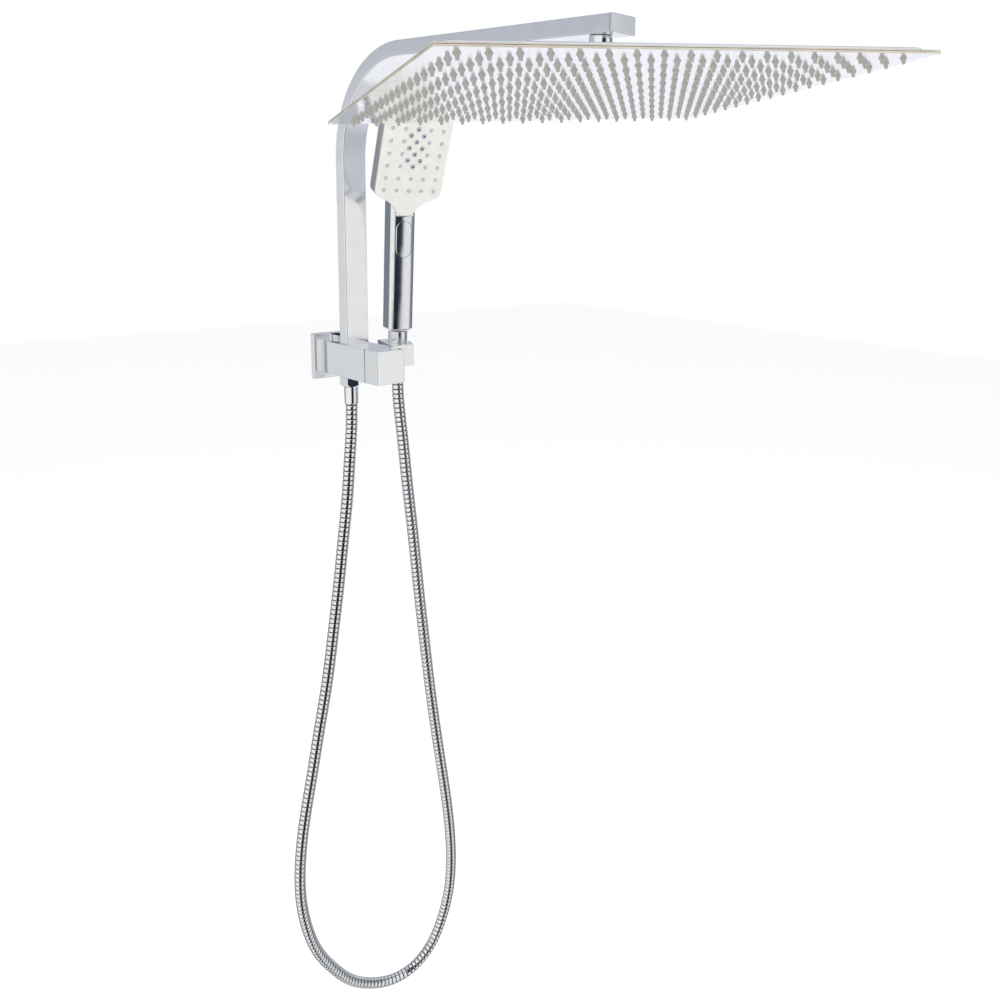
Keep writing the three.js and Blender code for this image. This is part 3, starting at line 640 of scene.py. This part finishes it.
def ringed_hose(s):
    """The interlocked rings as one skin: barrel-shaped rings with a narrow groove after each. The groove
    faces are marked for a dark finish, which paints the shade in the grooves.
    """
    line, length, (run, fine) = smooth_line(HOSE_ROUTE, s.ring_pitch)
    rings = len(line) - 1
    profile = [(t, s.groove * share) for t, share in (
        (0, 1), (0.07, 1), (0.10, 0.5), (0.15, 0.14), (0.22, 0), (0.80, 0), (0.89, 0.14), (0.95, 0.5))]
    marks, radii, groove = [], [], []
    for i in range(rings):
        for t, depth in profile:
            marks.append((i + t) * length / rings)
            radii.append(s.radius - depth)
            groove.append(t < 0.12 or t > 0.9)
    marks.append(length)
    radii.append(s.radius - s.groove)
    groove.append(True)
    centre = np.stack([np.interp(marks, run, fine[:, k]) for k in range(3)], 1)
    ahead = np.gradient(centre, axis=0)
    ahead /= np.linalg.norm(ahead, axis=1)[:, None]
    side = Vector((1, 0, 0))
    verts, faces, dark = [], [], []
    n = s.sides
    for k, (c, d, r) in enumerate(zip(centre, ahead, radii)):
        d = Vector(d)
        side = (side - d * side.dot(d)).normalized()
        up = d.cross(side)
        for i in range(n):
            a = 2 * pi * i / n
            verts.append(tuple((Vector(c) + (side * cos(a) + up * sin(a)) * r) / MM))
        if k:
            lo = (k - 1) * n
            faces += [(lo + i, lo + (i + 1) % n, lo + n + (i + 1) % n, lo + n + i) for i in range(n)]
            # faces between two groove marks take the dark finish that paints the shade in the groove
            dark += [groove[k - 1] and groove[k]] * n
    faces += [tuple(reversed(range(n))), tuple(range(len(verts) - n, len(verts)))]
    return (verts, faces), dark + [True, True], [tuple(p) for p in line], length


class SHOWER_OT_hose(bpy.types.Operator):
    """Makes the interlocked metal hose that hangs from the bracket to the handset"""
    bl_idname = "shower.hose"
    bl_label = "Hose"

    def execute(self, context):
        s = context.scene.shower_hose
        solid, dark, line, length = ringed_hose(s)
        hose = mesh_object("metal_hose", solid)
        if len(hose.data.polygons) != len(dark):
            raise RuntimeError("the hose lost faces when it was welded")
        hose.data.shade_smooth()
        hose.data.set_sharp_from_angle(angle=radians(22))
        hose.data.materials.append(FINISH["hose_steel"])
        hose.data.materials.append(FINISH["hose_groove"])
        # the faces in the grooves and the end caps take the dark finish: painted shade
        for face, is_dark in zip(hose.data.polygons, dark):
            face.material_index = int(is_dark)
        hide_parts("hose")
        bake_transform(hose)
        fittings = make_hose_fittings()
        return {"FINISHED"}


def turned(name, profile, ease, sides, place, *fit, **shading):
    """A piece turned about the Z of its place from a profile whose corners are softened."""
    return fitted(mesh_object(name, lathe(softened(profile, ease), sides), place), *fit, **shading)


def make_hose_fittings():
    """Hex nut, its nipple, both ferrules and the cone nut of the handset."""
    at_outlet = Matrix.Translation((0, HOSE_Y, 0))
    lo, hi = node_box("hose_nut")
    top, foot = hi.z, lo.z
    hexagon = [polar(HEX_R, 30 + 60 * k) for k in range(6)]
    nut = mesh_object("hose_hex_nut", slab(softened(hexagon, 0.5), foot, top, 0.3),
                      at_outlet @ turn("Z", HEX_TURN))
    # the round chamfer that takes the corners off both ends
    crown = [(0, foot - 1), (HEX_R - 2.6, foot - 1), (HEX_R - 2.6, foot), (HEX_R - 1.2, foot + 1.3),
             (HEX_R + 0.3, foot + 4.2), (HEX_R + 0.3, top - 1.6), (HEX_R - 1.9, top),
             (HEX_R - 1.9, top + 1), (0, top + 1)]
    combined(nut, lathe(crown, 64), at_outlet, "INTERSECT")
    nut = fitted(eased(nut, 0.35, 2, 25), "bracket", "chrome", "hose_nut", "polished")

    lo, hi = node_box("hose_nipple")
    neck = [(4.5, lo.z), (9.1, lo.z), (9.1, -20.3), (8, -20.3), (8, hi.z), (4.5, hi.z)]
    turned("hose_outlet_nipple", neck, 0.4, 40, at_outlet, "bracket", "brass", "hose_nipple", "brass")

    lo, hi = node_box("lower_ferrule")
    r = LOWER_FERRULE_R
    sleeve = [(4.5, lo.z), (r - 0.8, lo.z), (r, lo.z + 1.3), (r, -34.8), (6.6, -34.8), (6.6, hi.z),
              (4.5, hi.z)]
    lower = turned("lower_hose_ferrule", sleeve, 0.5, 48, at_outlet, "bracket", "ferrule",
                   "lower_ferrule", "polished")

    r = UPPER_FERRULE_R
    sleeve = [(4.5, -29.5), (r - 0.7, -29.5), (r, -28.4), (r, -22.3), (6.6, -22.3), (6.6, 1), (4.5, 1)]
    upper = turned("upper_hose_ferrule", sleeve, 0.5, 48, HANDSET_FRAME, "handset", "ferrule",
                   "upper_ferrule", "polished")

    r = CONE_R
    cone = [(9.6, -8.5), (9.6, 14), (11.3, 14), (r, 13.4), (r, 2.4), (11.55, 2.1), (11.55, 1.4),
            (r, 1.1), (r, 0), (10.2, -21.2), (9.4, -22), (7, -22), (7, -20.5), (8, -20.5), (8, -8.5)]
    cone = turned("cone_nut_finish", cone, 0.3, 56, HANDSET_FRAME, "handset", "handset_chrome",
                  "cone_nut", "polished")
    return [lower, upper, nut, cone]


def seam_finish(o, inside):
    """Darkens the faces of a piece that look into a narrow joint: painted shade, for the shadow in the
    joint.
    """
    o.data.materials.append(FINISH["seam"])
    for face in o.data.polygons:
        if inside(face.center / MM):
            face.material_index = 1


# ---- wall bracket ----
class SHOWER_OT_bracket(bpy.types.Operator):
    """Makes the wall plate, the inlet thread and the bracket body"""
    bl_idname = "shower.bracket"
    bl_label = "Wall bracket"

    def execute(self, context):
        lo, hi = node_box("wall_plate")
        half = hi.x
        outline = centred(half, half, 1.2, 4)
        plate = mesh_object("wall_cover_plate", slab(outline, 0, -lo.y, 0.15, 0.9), LAID_BACK)
        combined(plate, rod(10.7, -2, 12, 48), LAID_BACK)
        fitted(plate, "bracket", "chrome", "wall_plate", "polished")

        lo, hi = node_box("inlet_connector")
        reach, start = -lo.y, -hi.y
        thread = [(7.2, start), (9.2, start), (10.0, start + 0.8)]
        z = start + 1.2
        while z < reach - 2.4:      # rounded thread crests, one turn after another
            thread += [(10.15, z), (10.15, z + 0.35), (9.35, z + 0.9)]
            z += 1.35
        thread += [(10.0, reach - 1), (10.0, reach), (7.2, reach)]
        fitted(mesh_object("inlet_thread", lathe(thread, 48), LAID_BACK), "bracket", "brass",
               "inlet_connector", "brass")

        lo, hi = node_box("bracket_body")
        outline = rounded_rect(lo.x, hi.x, lo.y, hi.y, [0.6, 10, 10, 0.6], 10)
        body = mesh_object("bracket_block", slab(outline, lo.z, hi.z, 0.6))
        screw_lo, screw_hi = node_box("riser_grub_screw")
        mid = (screw_lo + screw_hi) / 2
        combined(body, rod(2.6, 16, 22), Matrix.Translation((0, mid.y, mid.z)) @ turn("Y", 90))
        socket = rounded_rect(-TUBE_W / 2 - GAP, TUBE_W / 2 + GAP, RISER_Y - TUBE_T / 2 - GAP,
                              RISER_Y + TUBE_T / 2 + GAP, [1.5] * 4, 4)
        combined(body, slab(socket, 10.2, hi.z + 5, 0))
        eased(body, 0.35, 2, 50)
        fitted(body, "bracket", "chrome", "bracket_body", "polished")
        # painted shade on the bracket's front faces, in the joint with the diverter block
        seam_finish(body, lambda c: c.y < lo.y + 0.4)
        return {"FINISHED"}


# ---- gooseneck riser ----
class SHOWER_OT_riser(bpy.types.Operator):
    """Makes the flat gooseneck tube, its end cap and the swivel nut under it"""
    bl_idname = "shower.riser"
    bl_label = "Gooseneck riser"

    def execute(self, context):
        lo, hi = node_box("riser_arm")
        section = centred(TUBE_W / 2, TUBE_T / 2, TUBE_ROUND, 4)
        middle = BEND_R - TUBE_T / 2
        centre = Vector((0, RISER_Y - middle, ARM_TOP - BEND_R))
        stations = [(Vector((0, RISER_Y, lo.z)), 0)]
        stations += [(centre + Vector((0, *polar(1, 90 * i / 56))) * middle, 90 * i / 56)
                     for i in range(57)]
        stations.append((Vector((0, lo.y, ARM_TOP - TUBE_T / 2)), 90))
        loops = [[at + Vector((x, 0, 0)) + Vector((0, *polar(1, a))) * y for x, y in section]
                 for at, a in stations]
        fitted(mesh_object("gooseneck_riser", loft(loops)), "bracket", "satin", "riser_arm",
               "polished")

        lo, hi = node_box("arm_end_cap")
        z0, z1 = ARM_TOP - TUBE_T, ARM_TOP
        outline = rounded_rect(-TUBE_W / 2, TUBE_W / 2, z0, z1, [TUBE_ROUND] * 4, 4)
        plug = rounded_rect(-13, 13, z0 + 1.7, z1 - 1.7, [0.8] * 4, 3)
        cap = together(slab(outline, -lo.y - 2.7, -lo.y, 0.12, 0.6), slab(plug, -hi.y, -lo.y - 2.6, 0.2))
        fitted(mesh_object("arm_cap", cap, LAID_BACK), "bracket", "chrome", "arm_end_cap",
               "polished")

        lo, hi = node_box("swivel_nut")
        r = hi.x
        nut = [(7.9, hi.z), (r - 0.5, hi.z), (r, hi.z - 0.6), (r, hi.z - 8.2), (r - 0.5, hi.z - 8.6),
               (r - 0.5, hi.z - 9.4), (r, hi.z - 9.8), (r, lo.z + 2.2), (r - 0.9, lo.z), (7.6, lo.z),
               (7.6, lo.z + 2.6), (9.4, lo.z + 2.6), (9.4, hi.z - 10.4), (7.9, hi.z - 10.4)]
        fitted(mesh_object("swivel_collar", lathe(softened(nut, 0.3), 64),
                           Matrix.Translation((0, OUTLET_Y, 0))), "bracket", "chrome",
               "swivel_nut", "polished")
        return {"FINISHED"}


# ---- rain head ----
def pierced_sheet(half, pitch, count, hole, z):
    """A flat square with a round hole at each place of a square grid."""
    verts, faces, cell = [], [], pitch / 2
    reach = cell * count
    for i in range(count):
        for j in range(count):
            cx, cy, start = (2 * i + 1) * cell - reach, (2 * j + 1) * cell - reach, len(verts)
            for k in range(16):
                c, s = cos(pi * k / 8), sin(pi * k / 8)
                m = max(abs(c), abs(s))
                verts += [(cx + cell * c / m, cy + cell * s / m, z), (cx + hole * c, cy + hole * s, z)]
            faces += [(start + 2 * k, start + (2 * k + 2) % 32, start + (2 * k + 3) % 32,
                       start + 2 * k + 1) for k in range(16)]
    marks = sorted({round((2 * i + 1) * cell - reach + cell * f, 5)
                    for i in range(count) for f in (-1, -tan(pi / 8), 0, tan(pi / 8), 1)})
    wide = [-half] + marks[1:-1] + [half]
    for sx, sy in ((0, -1), (1, 0), (0, 1), (-1, 0)):
        start = len(verts)
        for inner, outer in zip(marks, wide):
            if sx:
                verts += [(sx * reach, inner, z), (sx * half, outer, z)]
            else:
                verts += [(inner, sy * reach, z), (outer, sy * half, z)]
        faces += [(start + 2 * k, start + 2 * k + 1, start + 2 * k + 3, start + 2 * k + 2)
                  for k in range(len(marks) - 1)]
    return verts, faces


def edge_finish(sheet, half):
    """Gives the cut edges of a square sheet of the head their own finish."""
    sheet.data.materials.append(FINISH["cut_edge"])
    back = HEAD_FRAME.inverted() @ Matrix.Scale(1 / MM, 4)
    for face in sheet.data.polygons:
        c = back @ face.center
        if max(abs(c.x), abs(c.y)) > half - 0.05:
            face.material_index = 1


class SHOWER_OT_rain_head(bpy.types.Operator):
    """Makes the square head: pierced plate, nozzles, back, boss and ball stud"""
    bl_idname = "shower.rain_head"
    bl_label = "Rain head"

    def execute(self, context):
        s = context.scene.shower_head
        half, under = HEAD / 2, -HEAD_DROP
        pitch, base, tip, reach = s.pitch / MM, s.base / MM, s.tip / MM, s.reach / MM
        plate = mesh_object("rain_plate", pierced_sheet(half, pitch, s.nozzles, base + 0.25, under),
                            HEAD_FRAME)
        thick = plate.modifiers.new("thick", "SOLIDIFY")
        thick.thickness, thick.offset = FACE_T * MM, -1
        down = HEAD_FRAME.to_3x3() @ Vector((0, 0, -1))
        if plate.data.polygons[0].normal.dot(down) < 0:
            plate.data.flip_normals()
        bake(plate)
        fitted(plate, "rain_head", "steel", "head_face", "plate_steel", flat=False, sharp=30)
        edge_finish(plate, half)

        top = under + FACE_T + 0.3
        cone = softened([(3.8, top), (3.8, top + 0.6), (0, top + 0.6), (0, under - reach + 0.9),
                         (0.4, under - reach + 0.9), (0.4, under - reach), (tip - 0.15, under - reach),
                         (tip, under - reach + 0.3), (tip + 0.25, under - reach * 0.52),
                         (base, under - 0.25), (base, top)], 0.2, 1, least=25)
        one = lathe(cone, 14)
        places = [((i - (s.nozzles - 1) / 2) * pitch, (j - (s.nozzles - 1) / 2) * pitch)
                  for i in range(s.nozzles) for j in range(s.nozzles)]
        sheet = slab(centred(MAT_HALF, MAT_HALF, 4), top + 0.2, top + 0.8, 0.1)
        nozzles = mesh_object("rain_nozzles", together(sheet, *(shifted(one, x, y, 0) for x, y in places)),
                              HEAD_FRAME)
        fitted(nozzles, "rain_head", "silicone", "nozzle_mat", "silicone", flat=False, sharp=38)

        rim = under + FACE_T + 0.3
        square = centred(half, half, 0.6, 3)
        dish = centred(half - 7, half - 7, 5, 3)
        rise = [(rim + SHEET_T, 0), (rim + 1.25, 0.35), (rim + 3.6, 2.8), (rim + 4.6, 4.6), (rim + 5, 7.5)]
        loops = stacked(square, [(rim, 0), (rim + SHEET_T, 0)]) + stacked(dish, rise)
        cover = fitted(mesh_object("rain_head_back", loft(loops), HEAD_FRAME), "rain_head",
                       "steel", "head_top", "plate_steel")
        edge_finish(cover, half)

        foot = rim + 5.3
        boss = [(6.5, foot), (BOSS_R, foot), (BOSS_R + 1.2, foot + 0.8), (BOSS_R, foot + 2.2),
                (BOSS_R, foot + 7.1), (BOSS_R - 0.6, foot + 7.7), (6.5, foot + 7.7)]
        turned("head_centre_boss", boss, 0.4, 56, HEAD_FRAME, "rain_head", "chrome", "head_boss",
               "polished")

        ball = [polar(BALL_R, a) for a in range(42, -58, -6)]
        stud = [(3, 5.5)] + ball + [(4.4, -7.3), (4.4, foot + 8.9), (6.2, foot + 8.9), (6.2, foot + 0.6),
                                    (3, foot + 0.6)]
        fitted(mesh_object("head_ball_stud", lathe(stud, 48), HEAD_FRAME), "rain_head", "chrome",
               "ball_stud", "polished", flat=False)
        return {"FINISHED"}


# ---- diverter ----
class SHOWER_OT_diverter(bpy.types.Operator):
    """Makes the square turning block on the front of the bracket"""
    bl_idname = "shower.diverter"
    bl_label = "Diverter"

    def execute(self, context):
        lo, hi = node_box("diverter_knob")
        outline = rounded_rect(lo.x, hi.x, lo.z, hi.z, [0.7] * 4, 4)
        knob = mesh_object("diverter_block", slab(outline, -hi.y, -lo.y, 0.5, 0.7), LAID_BACK)
        screw_lo, screw_hi = node_box("knob_grub_screw")
        y = (screw_lo.y + screw_hi.y) / 2
        combined(knob, rod(2.2, -22, -12), Matrix.Translation((0, y, 0)))
        fitted(knob, "diverter", "chrome", "diverter_knob", "polished")
        # painted shade on the block's rear faces, in the joint with the bracket
        seam_finish(knob, lambda c: c.y > hi.y - 0.4)
        return {"FINISHED"}


# ---- handset holder ----
def holder_outline(z):
    """Outline of the holder at a height: slanted sides, and the slot that opens the tapered seat."""
    seat_x, seat_y, top = SEAT
    axis = HANDSET_FRAME.to_3x3() @ Vector((0, 0, 1))
    cx, cy = seat_x + axis.x / axis.z * (z - top), seat_y + axis.y / axis.z * (z - top)
    r, half = 12.4 - 1.7 * (top - z) / 22, 7.75
    low, high = seat_y - half, seat_y + half
    a0, a1 = asin((low - cy) / r), asin((high - cy) / r)
    arc = [(cx + r * cos(a), cy + r * sin(a))
           for a in (a0 - (2 * pi - (a1 - a0)) * i / 40 for i in range(41))]
    mouth = HOLDER_NOSE + HOLDER_SLANT * (low - HOLDER_FRONT)
    outer = [(36.5, -46), (19.3, HOLDER_FRONT), (HOLDER_NOSE, HOLDER_FRONT), (mouth, low)]
    tail = [(HOLDER_SIDE, high), (HOLDER_SIDE, -56), (61, -53.3)]
    return softened(outer + arc + tail, 0.5, 2, least=22)


class SHOWER_OT_holder(bpy.types.Operator):
    """Makes the slotted holder on the side of the bracket"""
    bl_idname = "shower.holder"
    bl_label = "Handset holder"

    def execute(self, context):
        lo, hi = node_box("holder")
        solid = slab(holder_outline(lo.z), lo.z, hi.z, 0.5, high=holder_outline(hi.z))
        holder = mesh_object("handset_bracket", solid)
        fitted(holder, "bracket", "chrome", "holder", "polished")
        return {"FINISHED"}


# ---- handset ----
def bow(x):
    """Front of the handle across its width."""
    return -HANDLE_BACK + HANDLE_BOW * (1 - sqrt(max(0, 1 - (x / HANDLE_HALF) ** 2)))


def handle_outline():
    out = []
    for i in range(37):
        x, y = polar(1, 180 + 180 * i / 36)
        out.append((HANDLE_HALF * x, -HANDLE_BACK + HANDLE_BOW * (1 + y)))
    for cx, start in ((HANDLE_HALF, 0), (-HANDLE_HALF, 90)):
        for i in range(6):
            x, y = polar(HANDLE_CORNER, start + 90 * i / 5)
            out.append((cx - copysign(HANDLE_CORNER, cx) + x, HANDLE_BACK - HANDLE_CORNER + y))
    return out


def paddle_outline(grow=0.0):
    """Outline of the spray head: a tongue that flares through a soft shoulder into the square."""
    s, top, r = FACE_HALF, FACE_TOP, 6
    low = [(0, -1.4), (5.2, -1.0), (9.2, 0.9), (12.4, 4.4), (16.2, 10.2), (22.4, 15.8), (31.0, 19.4),
           (37.4, 22.9), (40.7, 27.8), (s, 34)]
    curve = []
    pts = [(-4.6, -0.8)] + low + [(s, 44)]
    for i in range(1, len(pts) - 2):
        a, b, c, d = (Vector(pts[i + k]) for k in (-1, 0, 1, 2))
        for k in range(4):
            t = k / 4
            curve.append(tuple(0.5 * (2 * b + (c - a) * t + (2 * a - 5 * b + 4 * c - d) * t * t
                                      + (3 * b - a - 3 * c + d) * t ** 3)))
    curve.append((s, 34))
    curve += [(s - r + x, top - r + y) for x, y in (polar(r, 15 * i) for i in range(7))]
    loop = curve + [(-x, z) for x, z in reversed(curve[1:])]
    return inset(loop, -grow)


def face_spots(s):
    """Places of the plain and of the massage nozzles on the spray face."""
    plain, massage = [], []
    row, column, first = s.row_pitch / MM, s.column_pitch / MM, s.first_row / MM
    for k in range(s.rows):
        for c in range(s.columns):
            spot = ((c - (s.columns - 1) / 2) * column, first + k * row)
            (massage if c == s.columns // 2 and 2 <= k <= 5 else plain).append(spot)
    massage += [(side * column / 2, first + (k + 0.5) * row) for k in (2, 3, 4) for side in (-1, 1)]
    return plain, massage


class SHOWER_OT_handset(bpy.types.Operator):
    """Makes the handset: chrome shell, push button, spray face and its nozzles"""
    bl_idname = "shower.handset"
    bl_label = "Handset"

    def execute(self, context):
        self.shell()
        self.button()
        self.face(context.scene.shower_handset)
        return {"FINISHED"}

    def shell(self):
        levels = [(HANDLE_FOOT, 2.6), (HANDLE_FOOT + 0.25, 2.35), (HANDLE_FOOT + 3.0, 0.12),
                  (HANDLE_FOOT + 3.5, 0), (HANDLE_TOP - 3, 0), (HANDLE_TOP, 2.8)]
        shell = mesh_object("handset_body", loft(stacked(handle_outline(), levels)), HANDSET_FRAME)
        levels = [(-PADDLE_T, 5), (-17.85, 2.2), (-17.4, 1.0), (-16.6, 0.3), (-15.6, 0),
                  (-(FACE_PLATE + 0.3), 0)]
        at_face = PADDLE_FRAME @ LAID_BACK
        combined(shell, loft(stacked(paddle_outline(), levels)), at_face, "UNION")
        front = rounded_rect(-60, 60, -1.7, FACE_TOP + 40, [0.1] * 4, 1)
        combined(shell, slab(front, -FACE_PLATE - 0.3, 80, 0), at_face)
        pocket = rounded_rect(-BUTTON_HALF - GAP, BUTTON_HALF + GAP, BUTTON_MID - BUTTON_H / 2 - GAP,
                              BUTTON_MID + BUTTON_H / 2 + GAP, [BUTTON_HALF + 0.3] * 4, 12)
        combined(shell, slab(pocket, HANDLE_BACK - 5.8, 40, 0), HANDSET_FRAME @ LAID_BACK)
        eased(shell, 0.4, 2, 32)
        fitted(shell, "handset", "handset_chrome", "handset_shell", "polished")

    def button(self):
        """The button's front follows the bow of the handle, and its rim is rounded."""
        loops, r, half = [], BUTTON_HALF, BUTTON_H / 2
        outline = centred(r, half, r - 0.05, 12)
        rim = [(BUTTON_T, 0), (-0.1, 0), (-0.42, 0.12), (-0.55, 0.4), (-0.6, 0.9)]
        for depth, d in rim:
            ring = inset(outline, d)
            loops.append([(x, (bow(x) + depth) if depth < 1 else -HANDLE_BACK + depth, z + BUTTON_MID)
                          for x, z in ring])
        verts, faces = loft(loops)
        faces.pop(1)                    # the crowned front is laid across in strips instead
        n = len(loops[0])
        base, order = len(verts) - n, list(range(n))
        order = order[n * 3 // 4:] + order[:n * 3 // 4]
        for k in range(n // 2):
            strip = (order[k], order[(k + 1) % n], order[-2 - k], order[-1 - k])
            face = tuple(dict.fromkeys(base + i for i in strip))
            if len(face) > 2:
                faces.append(face)
        button = mesh_object("push_button", (verts, faces), HANDSET_FRAME)
        fitted(button, "button", "handset_chrome", "mode_button", "polished", flat=False)

    def face(self, s):
        plain, massage = face_spots(s)
        levels = [(-FACE_PLATE, 0), (-0.55, 0), (-0.2, 0.18), (-0.04, 0.5), (0, 1.0)]
        at_face = PADDLE_FRAME @ LAID_BACK
        face = mesh_object("spray_face", loft(stacked(paddle_outline(-0.5), levels)), at_face)
        drills = [shifted(rod(2.1, -3, 3, 20), x, z, 0) for x, z in plain]
        drills += [shifted(rod(2.8, -3, 3, 24), x, z, 0) for x, z in massage]
        combined(face, together(*drills), at_face)
        eased(face, 0.18, 1, 50)
        fitted(face, "handset", "face", "handset_face", "face_plastic")

        nub = [(3.2, -2.2), (3.2, -1.9), (1.75, -1.9), (1.65, 0.5), (1.35, 0.95), (0.85, 1.1),
               (0.4, 1.0), (0.36, 0.3), (0, 0.3), (0, -2.2)]
        small = together(*(shifted(lathe(nub, 18), x, z, 0) for x, z in plain))
        fitted(mesh_object("face_nozzles", small, at_face), "handset",
               "face_silicone", "handset_nozzles", "silicone", flat=False)
        jet = [(3.4, -2.2), (3.4, -1.9), (2.5, -1.9), (2.45, 0.35), (2.25, 0.75), (1.85, 0.85),
               (1.4, 0.6), (0.95, -0.2), (0.9, -0.9), (0, -0.9), (0, -2.2)]
        large = together(*(shifted(lathe(jet, 24), x, z, 0) for x, z in massage))
        jets = mesh_object("massage_nozzles", large, at_face)
        fitted(jets, "handset", "massage", "massage_insert", "tinted_plastic", flat=False)
        jets.data.materials.append(FINISH["face_silicone"])
        # The top faces of each nozzle's lip take the pale silicone, a painted highlight along the rim
        # above the blue sides
        back = at_face.inverted() @ Matrix.Scale(1 / MM, 4)
        for face in jets.data.polygons:
            if 0.3 < (back @ face.center).z:        # the pale lip of each nozzle
                face.material_index = 1


# ---- pieces inside ----
INSIDE = {
    "brass": ["arm_nipple", "diverter_cartridge"],
    "rubber": ["inlet_washer", "riser_seal", "swivel_washer", "cartridge_seal", "hose_washer",
               "handset_washer"],
    "dark_plastic": ["ball_seat"],
    "screw_steel": ["riser_grub_screw", "knob_grub_screw"],
    "pin_steel": ["diverter_spindle", "holder_stud", "handset_inlet"],
}


class SHOWER_OT_inside(bpy.types.Operator):
    """Gives the seals, pins, screws and brass pieces inside their finish"""
    bl_idname = "shower.inside"
    bl_label = "Pieces inside"

    def execute(self, context):
        for finish, names in INSIDE.items():
            for name in names:
                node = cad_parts[name]
                if not node.material_slots:
                    node.data.materials.append(FINISH[finish])
                for place in node.material_slots:
                    place.material = FINISH[finish]
        return {"FINISHED"}


class SHOWER_OT_finishes(bpy.types.Operator):
    """Mixes the finishes: chrome, steel, silicone, plastics and brass"""
    bl_idname = "shower.finishes"
    bl_label = "Finishes"

    def execute(self, context):
        make_finishes(context.scene.shower_finish)
        return {"FINISHED"}


class SHOWER_PT_panel(bpy.types.Panel):
    """Lists the pieces of the shower column and their settings"""
    bl_label = "Shower column"
    bl_idname = "SHOWER_PT_panel"
    bl_space_type = "VIEW_3D"
    bl_region_type = "UI"
    bl_category = "Shower"

    def draw(self, context):
        column = self.layout.column()
        for operator in OPERATORS:
            column.operator(operator.bl_idname, text=operator.bl_label)
        for place, group in GROUPS.items():
            box = column.box()
            for name in group.__annotations__:
                box.prop(getattr(context.scene, place), name)


GROUPS = {"shower_finish": FinishSettings, "shower_stage": StageSettings, "shower_hose": HoseSettings,
          "shower_head": HeadSettings, "shower_handset": HandsetSettings}
OPERATORS = (SHOWER_OT_stage, SHOWER_OT_finishes, SHOWER_OT_hose, SHOWER_OT_bracket, SHOWER_OT_riser,
             SHOWER_OT_rain_head, SHOWER_OT_diverter, SHOWER_OT_holder, SHOWER_OT_handset,
             SHOWER_OT_inside)


def register():
    for cls in (*GROUPS.values(), *OPERATORS, SHOWER_PT_panel):
        bpy.utils.register_class(cls)
    for name, group in GROUPS.items():
        setattr(bpy.types.Scene, name, PointerProperty(type=group))


def unregister():
    for name in GROUPS:
        delattr(bpy.types.Scene, name)
    for cls in reversed((*GROUPS.values(), *OPERATORS, SHOWER_PT_panel)):
        bpy.utils.unregister_class(cls)


def main():
    register()
    for operator in OPERATORS:
        family, name = operator.bl_idname.split(".")
        getattr(getattr(bpy.ops, family), name)()


if __name__ == "__main__":
    main()
